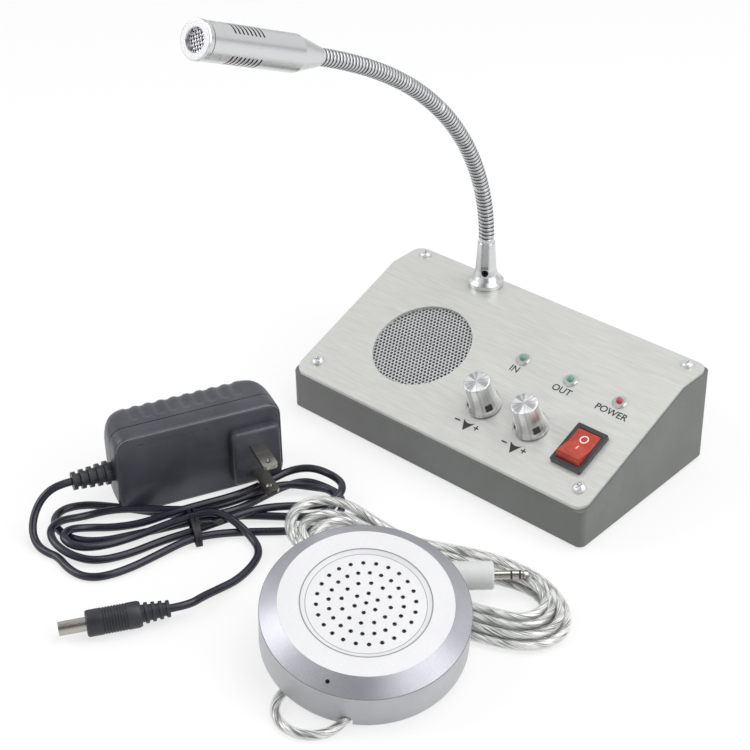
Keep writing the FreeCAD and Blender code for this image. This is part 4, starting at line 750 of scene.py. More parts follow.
@dataclass
class ClearCord:
    """Customer speaker's cord: clear jacket over twisted strands, wound into an oblong hank."""

    radius: float = 2.0
    strand_radius: float = 1.62
    lobes: int = 5
    pitch: float = 28.0
    turns: int = 7
    layer: float = 3.8
    clear: float = 0.05
    last_point: int = 19
    left_first: int = 11
    short_share: float = 0.68
    climb: float = 7.7
    climb_from: float = 24.0
    climb_run: float = 22.0
    columns: int = 20
    outer: tuple[Pair, ...] = (
        (62, -115.5), (74, -115), (86, -111.5), (97, -107), (105, -100), (107.3, -90.5), (103, -81.5),
        (94, -74.5), (82, -70), (68, -69.8), (54, -73), (40, -79.8), (26, -86.5), (12, -90.3), (-1, -92),
        (-11, -96.8), (-15.5, -105), (-13.6, -113.5), (-6.5, -122), (5, -126), (22, -123.5), (42, -118.5))
    inner: tuple[Pair, ...] = (
        (62, -104), (71.4, -100.9), (80.8, -97.8), (89.4, -94.6), (92.8, -87.2), (89.4, -79.4), (81.4, -76.8),
        (74.4, -78.2), (68, -81), (60.5, -85), (50, -89.3), (39, -92.4), (27, -94.6), (15, -96.6), (4, -99.4),
        (-3.4, -104.2), (-6.0, -111), (-3.2, -117.8), (4.4, -121.4), (15, -120), (29, -115), (46, -108.8))
    insets: tuple[float, ...] = (1.0, 0.66, 0.33, 0.0, 0.16, 0.5, 0.84, 1.0)
    layers: tuple[float, ...] = (0.0, 0.0, 0.0, 0.15, 0.9, 1.0, 1.0, 1.0)
    left_insets: tuple[float | None, ...] = (0.8, None, None, 0.0, 0.22, None, 1.0)
    left_shares: tuple[float, ...] = (0.35, 0.7, 1.0, 1.0, 1.0, 1.0, 1.0, 0.7, 0.35)
    entry: Course = ((38.2, -113.2, 2.6), (44.0, -109.6, 3.0), (53.0, -107.6, 2.6))
    loop: Course = (
        (74.51, -168.78, 4.36), (75.81, -177.57, 2.92), (74.9, -184.3, 2.05), (71.2, -189.7, 2.05),
        (65.4, -192.8, 2.05), (58.8, -192.9, 2.05), (52.8, -189.9, 2.05), (48.7, -184.3, 2.05),
        (47.3, -175.5, 2.05), (44.4, -164.5, 2.05), (40.4, -151.5, 2.05), (37.2, -138.9, 2.05),
        (35.6, -127.6, 2.05), (36.0, -118.8, 2.05))
    tail: Course = (
        (33.0, -115.9, 8.2), (38.2, -114.4, 9.0), (43.042, -111.323, 9.65), (47.807, -106.904, 9.65))

    def turn_points(self) -> list[Point]:
        """Wind the hank: out along the desk, then back in on top, its left end up on the black hank.

        Returns:
            Control points of the hank.
        """
        points = []
        count = len(self.outer)
        for turn in range(self.turns):
            left = self.left_insets[turn]
            for k, (wide, tight) in enumerate(zip(self.outer, self.inner)):
                if turn == self.turns - 1 and k > self.last_point:
                    continue
                share = k / count
                inset, layer = (row[turn] * (1 - share) + row[turn + 1] * share
                                for row in (self.insets, self.layers))
                if left is not None and 0 <= k - self.left_first < len(self.left_shares):
                    inset += (left - inset) * self.left_shares[k - self.left_first]
                x, y = (w + (t - w) * inset for w, t in zip(wide, tight))
                if left is None and x < self.climb_from:
                    x = self.climb_from - (self.climb_from - x) * self.short_share
                low = self.climb * min(max((self.climb_from - x) / self.climb_run, 0.0), 1.0)
                points.append((x, y, low + self.radius + self.clear + layer * self.layer))
        return points

    def route(self) -> list[Point]:
        """Join the way out of the speaker, the hank and the way into the plug."""
        return [*self.loop, *self.entry, *self.turn_points(), *self.tail]

    def build(self) -> None:
        """Make the jacket and the strands inside it."""
        points = self.route()
        jacket = route_curve("clear_cord_jacket", points, self.radius, 5)
        settle(jacket, CLEAR_PVC, "cord_clear", "base", "clear_cord_loop", "clear_cord_hank",
               "clear_cord_tail")
        line = line_of(jacket)
        strands = self.strands(evenly(line, 1.0))
        LOG.info("clear cord: %d points, %.0f mm", len(points), length_of(line))

    def strands(self, line: Sequence[Vector]) -> Piece:
        """Lay the strands in their twist along the cord's line; rows of points turn with it.

        Args:
            line: Points a millimetre apart along the cord.

        Returns:
            The piece.
        """
        columns = self.columns
        points = []
        for i, (point, (side, up)) in enumerate(zip(line, carried_frames(line))):
            for j in range(columns):
                turn = tau * (j / columns + i / self.pitch)
                radius = self.strand_radius * (0.94 + 0.06 * cos(self.lobes * tau * j / columns))
                points.append(point + side * (radius * cos(turn)) + up * (radius * sin(turn)))
        piece = solid("clear_cord_strands", points, ring_faces(len(line), columns), sharp=180.0)
        lay = piece.data.uv_layers.new(name="lay")
        across = tau * self.strand_radius / columns
        for polygon in piece.data.polygons:
            numbers = [piece.data.loops[k].vertex_index for k in polygon.loop_indices]
            places = [number % columns for number in numbers]
            wraps = max(places) - min(places) > columns / 2
            for k, number, place in zip(polygon.loop_indices, numbers, places):
                lay.data[k].uv = (number // columns, (place + columns * (wraps and place == 0)) * across)
        return settle(piece, STRAND_TIN, "cord_clear", "base")


@dataclass
class PowerCord:
    """Adapter's lead: black, folded into a loose hank through a band, out to its plug."""

    radius: float = 1.65
    start: Course = (
        (-91.691, -160.504, 18.0), (-94.65, -166.848, 18.0), (-96.3, -173.4, 14.4), (-95.2, -179.0, 9.4),
        (-91.6, -183.3, 4.9), (-86.2, -185.3, 2.3), (-80.3, -185.1, 1.7), (-75.2, -183.9, 1.7))
    lead: Course = (
        (-66.0, -186.2, 1.7), (-57.5, -185.5, 1.7), (-51.5, -180.2, 1.7), (-47.6, -169.4, 1.7),
        (-45.6, -157.0, 1.8), (-42.9, -146.0, 2.9))
    first_turn: Course = (
        (-40.2, -139.8, 3.3), (-36.3, -133.2, 3.0), (-30.4, -124.6, 1.9), (-18.6, -113.6, 1.7),
        (-9.4, -104.6, 1.7), (-6.9, -95.2, 1.7), (-10.2, -86.0, 1.7), (-17.3, -80.0, 1.7),
        (-26.2, -80.2, 1.8), (-34.2, -83.0, 2.6), (-38.9, -90.4, 2.0), (-40.7, -101.0, 1.8),
        (-41.4, -113.5, 2.4), (-45.0, -123.8, 3.0), (-50.9, -131.2, 3.3), (-58.8, -135.6, 2.6),
        (-71.0, -141.2, 1.9), (-84.0, -148.0, 1.8), (-93.6, -154.6, 1.8), (-98.2, -163.0, 1.9),
        (-94.4, -171.0, 2.2), (-85.5, -173.6, 1.9), (-76.6, -172.0, 1.8), (-68.8, -165.6, 1.9),
        (-62.4, -155.4, 2.2), (-55.6, -144.6, 2.8))
    second_turn: Course = (
        (-49.2, -133.9, 3.3), (-38.7, -119.4, 3.4), (-24.0, -107.6, 3.0), (-14.6, -99.2, 2.4),
        (-11.2, -91.0, 4.4), (-14.8, -84.8, 4.9), (-21.2, -83.0, 4.6), (-29.0, -86.0, 3.6),
        (-36.0, -91.2, 4.6), (-40.8, -99.0, 4.6), (-44.4, -108.8, 3.6), (-48.4, -120.4, 3.6),
        (-54.6, -129.4, 3.9), (-63.2, -137.2, 4.2), (-72.6, -144.2, 4.2), (-81.8, -151.6, 3.0),
        (-87.6, -161.0, 2.0), (-89.6, -170.6, 5.0), (-87.0, -178.4, 5.6), (-78.6, -182.2, 4.9),
        (-68.4, -181.2, 3.6), (-60.4, -176.2, 2.4), (-54.6, -164.6, 1.9), (-50.4, -150.2, 2.4))
    third_turn: Course = (
        (-44.6, -138.9, 3.3), (-38.9, -127.6, 5.2), (-33.2, -112.8, 5.6), (-25.0, -101.4, 4.6),
        (-15.8, -93.6, 4.2), (-12.0, -85.8, 7.0), (-16.2, -79.2, 7.4), (-25.0, -76.6, 6.4),
        (-35.2, -78.4, 6.6), (-41.8, -85.0, 5.6), (-44.2, -94.8, 4.4), (-44.6, -106.4, 5.6),
        (-47.0, -117.0, 6.6), (-51.4, -126.2, 6.6), (-57.2, -137.6, 6.0), (-63.6, -148.4, 3.6),
        (-71.8, -157.0, 2.2), (-79.4, -164.2, 2.6), (-82.4, -172.2, 5.0), (-78.6, -178.6, 6.4),
        (-70.6, -178.4, 5.4), (-64.2, -170.6, 4.4), (-59.8, -158.0, 3.6), (-53.6, -144.0, 5.6))
    over: Course = (
        (-49.4, -136.2, 6.6), (-45.4, -129.6, 7.6), (-40.4, -126.4, 7.4))
    band_middle: Pair = (-47.2, -135.2)
    band_across: Pair = (0.833, -0.553)
    band_along: Pair = (0.553, 0.833)
    band_thickness: float = 0.35
    band_half_width: float = 0.75
    band_outline: tuple[Pair, ...] = (
        (-11.6, 1.2), (-11.9, 2.8), (-10.5, 4.8), (-5, 7.0), (0, 7.9), (5, 7.6), (9.5, 6.0), (11.8, 3.2),
        (11.5, 1.2), (8, 0.5), (-8, 0.5))
    sleeve_ribs: int = 4
    sleeve_pitch: float = 2.75
    grip_rings: int = 9
    grip_first: float = 16.4
    grip_pitch: float = 1.1
    plug_radius: float = 5.2
    plug_ahead: Point = (-0.543, -0.84, 0)
    band_tail: Course = (
        (4.2, 0.6, 7.9), (4.8, 3.2, 7.9), (4.2, 6.2, 7.2), (5.4, 8.8, 6.4), (5.0, 11.4, 6.8))
    end: Course = (
        (-33.5, -125.2, 6.2), (-24.6, -124.9, 2.6), (-16.2, -128.3, 1.7), (-12.0, -136.5, 1.7),
        (-10.2, -147.0, 1.7), (-10.9, -156.0, 2.6), (-10.9, -164.5, 4.2), (-10.4285, -172.2014, 5.2),
        (-14.5, -178.5, 5.2))

    def band(self) -> Piece:
        """Two wraps of flat tie round the bundle, with the short twisted tail on top.

        Returns:
            The piece.
        """
        middle, across, along = (Vector((*pair, 0))
                                 for pair in (self.band_middle, self.band_across, self.band_along))
        half = self.band_half_width
        points: list[Vector] = []
        faces: list[list[int]] = []
        count, sides = len(self.band_outline), 8
        for offset, skew in ((-1.1, 0.5), (1.0, -0.4)):
            faces += ring_faces(count, 4, True, len(points))
            for k, (u, z) in enumerate(self.band_outline):
                before, after = self.band_outline[k - 1], self.band_outline[(k + 1) % count]
                out = Vector((after[1] - before[1], 0, before[0] - after[0])).normalized()
                out *= -self.band_thickness
                for side, level in ((-half, 1), (half, 1), (half, -1), (-half, -1)):
                    at = middle + across * (u + out.x * level) + along * (offset + skew * u / 12 + side)
                    points.append(at + Vector((0, 0, max(z + out.z * level, 0.15))))
        base = len(points)
        for u, v, z in self.band_tail:
            points += [middle + across * (u + 0.7 * c) + along * v + Vector((0, 0, z + 0.45 * s))
                       for c, s in circle(sides)]
        faces += ring_faces(len(self.band_tail), sides, base=base)
        faces += [[first + j for j in range(sides)] for first in (base, len(points) - sides)]
        piece = solid("hank_band", points, faces, None, 50.0)
        return settle(piece, TIE_NYLON, "cord_black", "base", "cord_tie")

    def plug(self) -> Piece:
        """Moulded plug: ribbed sleeve, and a body with fine grip rings behind its nose.

        Returns:
            The piece.
        """
        profile: list[Pair] = [(0, 0)]
        wide = self.plug_radius
        for i in range(self.sleeve_ribs):
            outer = 3.1 + 0.25 * (i + 1)
            low = i * self.sleeve_pitch
            profile += [(outer - 0.15, low), (outer, low + 0.15), (outer, low + 1.225),
                        (outer - 0.15, low + 1.375), (outer - 0.7, low + 1.375), (outer - 0.7, low + 2.75)]
        profile += [(4.7, 11.0), (4.95, 11.4), (wide, 12.2), (wide, 16.0)]
        for i in range(self.grip_rings):
            low = self.grip_first + i * self.grip_pitch
            profile += [(wide, low), (4.95, low + 0.15), (4.95, low + 0.4), (wide, low + 0.55)]
        profile += [(wide, 31.2), (4.9, 31.8), (4.4, 32.0), (0, 32.0)]
        place = frame_at(self.end[-1], (0, 0, 1), self.plug_ahead)
        piece = lathe("dc_plug_moulding", profile, place, 56, 30.0)
        return settle(piece, PLUG_PVC, "cord_black", "base", "dc_body")

    def build(self) -> None:
        """Make the lead, its plug and the band round its hank."""
        points = [*self.start, *self.lead, *self.first_turn, *self.second_turn, *self.third_turn, *self.over,
                  *self.end]
        lead = route_curve("power_lead", points, self.radius)
        settle(lead, BLACK_PVC, "cord_black", "base", "power_cord_start", "power_cord_hank", "power_cord_end")
        line = line_of(lead)
        self.plug()
        self.band()
        LOG.info("power lead: %d points, %.0f mm", len(points), length_of(line))


@dataclass
class Adapter:
    """Plug-in adapter: front shell with the blades' block, and a rounded rear shell with finger grooves."""

    origin: Point = (-76.35, -148.9, 0.0)
    along: Point = (0.4226, 0.9063, 0.0)
    length: float = 71.6
    depth: float = 28.0
    height: float = 38.0
    seam: float = 9.0
    end_radius: float = 12.0
    back_radius: float = 8.0
    edge_radius: float = 6.0
    grooves: int = 9
    groove_first: float = 12.6
    groove_pitch: float = 5.6
    groove_width: float = 4.0
    groove_depth: float = 0.55
    block_sides: Sides = (48.0, 69.4, 4.0, 30.0)
    block_corner: float = 2.4
    slots: int = 6
    slot_first: float = 11.0
    slot_height: float = 33.9
    highlight_inset: float = 0.62
    highlight_radius: float = 0.24
    highlight_depth: float = 0.42
    highlight_low: float = 7.0
    corner_steps: int = 7

    @property
    def place(self) -> Matrix:
        """Frame of the case: X along it, Y into it, Z up."""
        return frame_at(self.origin, self.along, (0, 0, 1))

    def loop(self, inset: float, corner: float, y: float) -> list[Vector]:
        """Rounded rectangle of the case at one depth, shrunk by an inset."""
        return rounded_loop((inset, self.length - inset, inset, self.height - inset), corner, y,
                            self.corner_steps)

    def front(self) -> Piece:
        """Front shell, with a rounded front edge and a fine step at the seam.

        Returns:
            The piece.
        """
        rows = ((2.2, 0.0), (1.4, 0.1), (0.65, 0.5), (0.18, 1.25), (0.0, 2.2), (0.0, self.seam - 0.45),
                (0.3, self.seam - 0.25), (0.3, self.seam))
        loops = [self.loop(inset, self.edge_radius - inset, y) for inset, y in rows]
        return capped("adapter_front_shell", loops, self.place)

    def block(self) -> Piece:
        """Raised block that carries the blades.

        Returns:
            The piece.
        """
        left, right, low, high = self.block_sides
        rows = ((1.6, -4.5), (0.9, -4.35), (0.35, -3.9), (0.1, -3.2), (0.0, -0.2), (0.0, 0.6))
        loops = [rounded_loop((left + i, right - i, low + i, high - i), self.block_corner - i, y, 4)
                 for i, y in rows]
        return capped("adapter_blade_block", loops, self.place)

    def groove(self, x: float, y: float) -> float:
        """Depth of the finger grooves at a point of the skin; their front ends are round.

        Args:
            x: Place along the case.
            y: Place into it.

        Returns:
            Depth of the groove there.
        """
        number = min(max(round((x - self.groove_first) / self.groove_pitch), 0), self.grooves - 1)
        off = x - self.groove_first - number * self.groove_pitch
        half = self.groove_width / 2
        ahead = max(self.seam + 3.2 + half - y, 0.0) / half
        far = hypot(off / half, ahead)
        return self.groove_depth * max(cos(pi / 2 * far), 0.0) ** 0.8 if far < 1 else 0.0

    def section(self, x: float) -> list[Vector]:
        """Side profile of the rear shell at one place, smaller near the ends, with the grooves in it.

        Args:
            x: Place along the case.

        Returns:
            Its points, from the seam below round to the seam above.
        """
        near = min(x, self.length - x)
        shrink, inset = (r - sqrt(r ** 2 - max(r - near, 0.0) ** 2)
                         for r in (self.end_radius, self.edge_radius))
        far, low, high = self.depth - shrink * 0.98, inset, self.height - inset
        radius = min(self.back_radius, (far - self.seam) * 0.75)
        line = [(self.seam + (far - radius - self.seam) * k / 22, low, 0.0, 1.0) for k in range(22)]
        line += [(far - radius + radius * sin(t), low + radius - radius * cos(t), -sin(t), cos(t))
                 for t in (pi / 2 * k / 10 for k in range(11))]
        lower = list(reversed(line))
        line += [(far, low + radius + (high - low - 2 * radius) * k / 8, -1.0, 0.0) for k in range(1, 8)]
        line += [(y, low + high - z, ny, -nz) for y, z, ny, nz in lower]
        return [Vector((x, y + ny * self.groove(x, y), z + nz * self.groove(x, y))) for y, z, ny, nz in line]

    def back(self) -> Piece:
        """Rear shell: side profiles set along the case, their size shrinking into the rounded ends.

        Returns:
            The piece.
        """
        stops = [self.edge_radius * (1 - cos(pi / 2 * i / 6)) for i in range(6)]
        stops += [self.edge_radius + 0.5 * i for i in range(int((self.end_radius - self.edge_radius) / 0.5))]
        middle = [self.end_radius + (self.length - 2 * self.end_radius) * i / 120 for i in range(121)]
        sections = [self.section(x) for x in stops + middle + [self.length - x for x in reversed(stops)]]
        around, count = len(sections[0]), len(sections)
        faces = [[at, at + 1, at + around + 1, at + around]
                 for i in range(count - 1) for at in range(i * around, (i + 1) * around - 1)]
        faces += [[first + j for j in range(around)] for first in (0, (count - 1) * around)]
        faces.append([i * around for i in range(count)] +
                     [i * around + around - 1 for i in reversed(range(count))])
        points = [point for section in sections for point in section]
        return solid("adapter_rear_shell", points, faces, self.place, 40.0)

    def edge(self) -> Piece:
        """Painted highlight along the front edge, a thin pale tube: over the top, round the corner and down
        the right side.

        Returns:
            The piece.
        """
        depth, last, sides = self.highlight_depth, 2 * (self.corner_steps + 1), 8
        course = self.loop(self.highlight_inset, self.edge_radius - self.highlight_inset, depth)
        course = [Vector((self.length - self.highlight_inset, depth, self.highlight_low))] + course[:last]
        points: list[Vector] = []
        for k, point in enumerate(course):
            ahead = (course[min(k + 1, last)] - course[max(k - 1, 0)]).normalized()
            out = ahead.cross(Vector((0, 1, 0)))
            points += [point + out * c + Vector((0, s, 0)) for c, s in circle(sides, self.highlight_radius)]
        return solid("adapter_edge_painted_highlight", points, ring_faces(last + 1, sides), self.place, 180.0)

    def slot(self, number: int) -> Piece:
        """Painted shade of one small notch under the front edge: a thin dark film on the face.

        Args:
            number: Which slot, from nought.

        Returns:
            The piece.
        """
        middle = Vector((self.slot_first + self.groove_pitch * number, 0, self.slot_height)) * MM
        place = turned_by(self.place @ Matrix.Translation(middle), 90, "X")
        return slab(f"adapter_slot_{number + 1}", (-1.3, 1.3), (-0.35, 0.35), (0.0, 0.03), place)

    def build(self) -> None:
        """Make the shells, the blades' block, the painted highlight along the front edge and the painted
        shade of the notches.
        """
        front, block, back = self.front(), self.block(), self.back()
        settle(front, ADAPTER_ABS, "adapter_black", "base", "adapter_front")
        settle(block, ADAPTER_ABS, "adapter_black", "base")
        settle(back, ADAPTER_ABS, "adapter_black", "base", "adapter_back")
        # Thin pale tube: painted highlight of the rounded front edge.
        settle(self.edge(), PAINTED_EDGE_HIGHLIGHT, "adapter_black", "base")
        # Thin dark films: painted shade of the notches under the front edge.
        for number in range(self.slots):
            settle(self.slot(number), PAINTED_HOLE_SHADE, "adapter_black", "base")


@dataclass
class CustomerSpeaker:
    """Fine lines of the round speaker: painted shade of the grooves in its face, its joint, and painted shade
    in its holes.
    """

    origin: Point = (55.17, -144.35, 9.13)
    lean: float = 13.52
    heading: float = -34.06
    top: float = 21.07
    sunk: float = 0.9
    base_height: float = 16.3
    radius: float = 39.07
    hole_rings: tuple[tuple[float, int], ...] = ((0.0, 1), (4.4, 6), (9.1, 12), (13.7, 20), (18.2, 24))

    @property
    def place(self) -> Matrix:
        """Frame of the speaker, Z out of its face.

        Returns:
            The frame.
        """
        turn, lean = radians(self.heading), radians(self.lean)
        normal = (cos(turn) * sin(lean), sin(turn) * sin(lean), cos(lean))
        return frame_at(self.origin, (1, 0, 0), normal)

    def line(self, name: str, radius: float, width: float, level: float) -> Piece:
        """Flat grey ring on the face: painted shade of a groove."""
        return lathe(name, [(radius - width / 2, level), (radius + width / 2, level)], self.place, 160)

    def joint(self) -> Piece:
        """Narrow band over the joint round the rim.

        Returns:
            The piece.
        """
        inside, outside = self.radius - 0.2, self.radius + 0.02
        low, high = self.base_height - 0.14, self.base_height + 0.14
        profile = [(inside, low), (outside, low), (outside, high), (inside, high)]
        return lathe("rim_joint", profile, self.place, 160)

    def hole_shade_funnels(self) -> Piece:
        """Painted shade in the holes: dark countersunk funnels, all rings of them.

        Returns:
            The piece.
        """
        low, sides = self.top - self.sunk, 16
        points: list[Vector] = []
        faces: list[list[int]] = []
        for ring, count in self.hole_rings:
            for middle_x, middle_y in circle(count, ring):
                faces += ring_faces(3, sides, base=len(points))
                for radius, height in ((0.6, low - 0.8), (0.74, low - 0.02), (0.86, low + 0.015)):
                    points += [Vector((middle_x + x, middle_y + y, height)) for x, y in circle(sides, radius)]
        return solid("hole_shade_funnels", points, faces, self.place)

    def build(self) -> None:
        """Make the lines."""
        for piece, finish in ((self.line("face_groove_shade_outer", 24.2, 0.5, self.top + 0.02), PAINTED_GROOVE_SHADE),
                              (self.line("face_groove_shade_inner", 22.2, 0.26, self.top - self.sunk + 0.02),
                               PAINTED_GROOVE_SHADE),
                              (self.joint(), JOINT_GREY), (self.hole_shade_funnels(), PAINTED_HOLE_SHADE)):
            settle(piece, finish, "puck_white", "base")


@dataclass
class Microphone:
    """Gooseneck of spiral steel and the slotted head."""

    foot: Point = (-33.8, 35.0, 68.4)
    length: float = 167.6
    links: int = 6
    turn: float = 0.6482
    ease: float = -0.0015
    radius: float = 3.5
    pitch: float = 1.95
    groove: float = 0.65
    rim: float = 1.78
    segments: int = 36
    rows: int = 10
    seen_ball: float = 1.85
    seat_depth: float = 2.0
    seat_radius: float = 3.12
    seat_taper: float = 0.36
    seat_wall: float = 0.06
    gauze_at: float = 62.6
    head_length: float = 64.4

    def stations(self) -> list[tuple[Vector, float]]:
        """Points and angles where the links meet.

        Returns:
            Point and angle of each meeting, from the foot up.
        """
        step = self.length / self.links
        point = Vector(self.foot)
        stations: list[tuple[Vector, float]] = []
        for i in range(self.links + 1):
            s = i * step
            angle = radians(90 + self.turn * s + self.ease * s * s)
            if i:
                bend = angle - stations[-1][1]
                chord = 2 * step / bend * sin(bend / 2)
                course = stations[-1][1] + bend / 2
                point = point + Vector((0, cos(course), sin(course))) * chord
            stations.append((point, angle))
        return stations

    def ball(self, beyond: float) -> float:
        """Radius of a link's outside: its tube's, and past the tube's end that of the ball."""
        return sqrt(max(self.radius ** 2 - max(beyond, 0.0) ** 2, 0.0))

    def crown(self, phase: float) -> float:
        """Radius of the wound strip across its width: a round crown between narrow grooves."""
        return self.radius - self.groove * abs(2 * (phase % 1.0) - 1) ** 3

    def seat(self, s: float) -> float:
        """Radius of the hollow at a link's near end, which clears the ball before it at every angle."""
        return self.seat_radius - self.seat_taper * (s - self.rim)

    def link(self, index: int) -> Piece:
        """One length of the spiral, its rows of points along the winding, its ball end seated in the next.

        Args:
            index: Which link, from nought.

        Returns:
            The piece.
        """
        (start, a0), (_, a1) = self.stations()[index:index + 2]
        step, rows, sides = self.length / self.links, self.rows, self.segments
        bend_radius = step / (a1 - a0)
        centre = start + Vector((0, -sin(a0), cos(a0))) * bend_radius
        points: list[Vector] = []

        def put(s: float, around: float, radius: float) -> None:
            """Add one point, from its place along the link, round it and out from its axis.

            Args:
                s: Place along the link.
                around: Angle round it.
                radius: Distance from its axis.
            """
            angle = a0 + (a1 - a0) * min(s, step) / step
            normal, ahead = Vector((0, -sin(angle), cos(angle))), Vector((0, cos(angle), sin(angle)))
            middle = centre - normal * bend_radius + ahead * max(s - step, 0.0)
            points.append(middle + (Vector((1, 0, 0)) * cos(around) + normal * sin(around)) * radius)

        def ring(s: float, radius: float) -> None:
            """Add a ring of points square to the axis."""
            for j in range(sides):
                put(s, tau * j / sides, radius)

        for inside in (self.rim + self.seat_depth, self.rim):
            ring(inside, self.seat(inside))
        before = int(index * step / self.pitch)
        count = (int(((index + 1) * step + self.seen_ball) / self.pitch) - before + 3) * rows
        for i in range(count + 1):
            for j in range(sides):
                along = (before + i / rows + j / sides - 1) * self.pitch
                s = min(max(along - index * step, self.rim), step + self.seen_ball)
                crown = self.crown((index * step + s) / self.pitch - j / sides)
                wound = crown - self.radius + self.ball(s - step)
                put(s, tau * j / sides, max(wound, self.seat(s) + self.seat_wall))
        faces = ring_faces(3, sides)
        first = 2 * sides
        for i in range(count):
            for j in range(sides):
                near, far = i * sides + j, (i + 1) * sides + j
                ahead, above = near + 1, far + 1
                if j + 1 == sides:
                    ahead, above = (min(k + rows, count) * sides for k in (i, i + 1))
                faces.append([first + near, first + ahead, first + above, first + far])
        faces += ring_faces(6, sides, base=len(points) - sides)
        for k in range(1, 6):
            beyond = self.seen_ball + (self.radius - self.seen_ball - 0.01) * k / 5
            ring(step + beyond, self.ball(beyond) * 0.97)
        piece = solid(f"spiral_neck_{index + 1}", points, faces, sharp=180.0)
        settle(piece, SPRING_CHROME, "satin_chrome", f"neck_{index + 1}", f"neck_link_{index + 1}")
        piece.data.materials.append(SPRING_GROOVE_SHADE.make())
        # Faces deep in the grooves take the dark wedge wire: partly painted shade.
        for polygon in piece.data.polygons:
            off = polygon.center / MM - centre
            reach = hypot(off.x, hypot(off.y, off.z) - bend_radius)
            s = bend_radius * Vector((0, off.y, off.z)).angle(start - centre)
            shown = self.rim + 0.1 < s < step + self.seen_ball
            polygon.material_index = int(shown and reach < self.ball(s - step) - 0.3 * self.groove)
        return piece

    def head_frame(self) -> Matrix:
        """Frame at the head's rear end, Z along its axis."""
        point, angle = self.stations()[-1]
        return frame_at(point, (1, 0, 0), (0, cos(angle), sin(angle)))

    def gauze(self) -> Piece:
        """Woven wire disc in the mouth, flat wires over and under each other.

        Returns:
            The piece.
        """
        points: list[Vector] = []
        faces: list[list[int]] = []
        half_wire, thin, gap, limit, sides = 0.42, 0.16, 1.3, 5.0, 8
        reach = int(limit / gap)
        for across in (False, True):
            for i in range(-reach, reach + 1):
                offset = i * gap
                half = sqrt(limit ** 2 - offset ** 2)
                steps = max(int(half * 2 / 0.26), 4)
                faces += ring_faces(steps + 1, sides, base=len(points))
                for k in range(steps + 1):
                    t = -half + 2 * half * k / steps
                    lift = 0.22 * cos(pi * t / gap + pi * (i + across))
                    for c, s in circle(sides):
                        side, high = offset + half_wire * c, self.gauze_at + lift + thin * s
                        points.append(Vector((side, t, high) if across else (t, side, high)))
        return solid("woven_gauze", points, faces, turned_by(self.head_frame(), 28), 180.0)

    def backing(self) -> Piece:
        """Dark disc behind the gauze."""
        low, high = self.gauze_at - 0.95, self.gauze_at - 0.75
        return lathe("gauze_backing", [(0, high), (4.85, high), (4.85, low), (0, low)], self.head_frame(), 48)

    def front_ring(self) -> Piece:
        """Turned ring of the mouth: a bright lip, a dark groove behind it and a sleeve up to the tube.

        Returns:
            The piece.
        """
        front, lip = self.head_length, self.head_length - 2.4
        start = front - 7.9
        return lathe("turned_front_ring", [
            (4.9, start), (7.18, start), (7.18, lip - 0.55), (6.75, lip - 0.45), (6.75, lip - 0.05),
            (7.33, lip + 0.1), (7.35, front - 0.55), (7.1, front - 0.1), (6.85, front), (4.55, front),
            (4.25, front - 0.3),
            (4.2, front - 1.7), (4.9, front - 1.9), (4.9, start)], self.head_frame(), 96, 20.0)

    def build(self) -> None:
        """Make the neck's links, the gauze and the ring of the mouth."""
        for index in range(self.links):
            self.link(index)
        settle(self.gauze(), GAUZE_WIRE, "dark_steel", "neck_6", "mic_grille")
        settle(self.backing(), BLACK_STEEL, "dark_steel", "neck_6")
        settle(self.front_ring(), SATIN_CHROME, "satin_chrome", "neck_6", "mic_bezel")
        level = self.head_length + 0.01
        face = lathe("mouth_face", [(4.6, level), (6.82, level)], self.head_frame(), 96)
        settle(face, FACED_RING, "satin_chrome", "neck_6")


class Mark(Enum):
    """Printed marks beside a knob."""

    LESS = "−"
    MORE = "+"


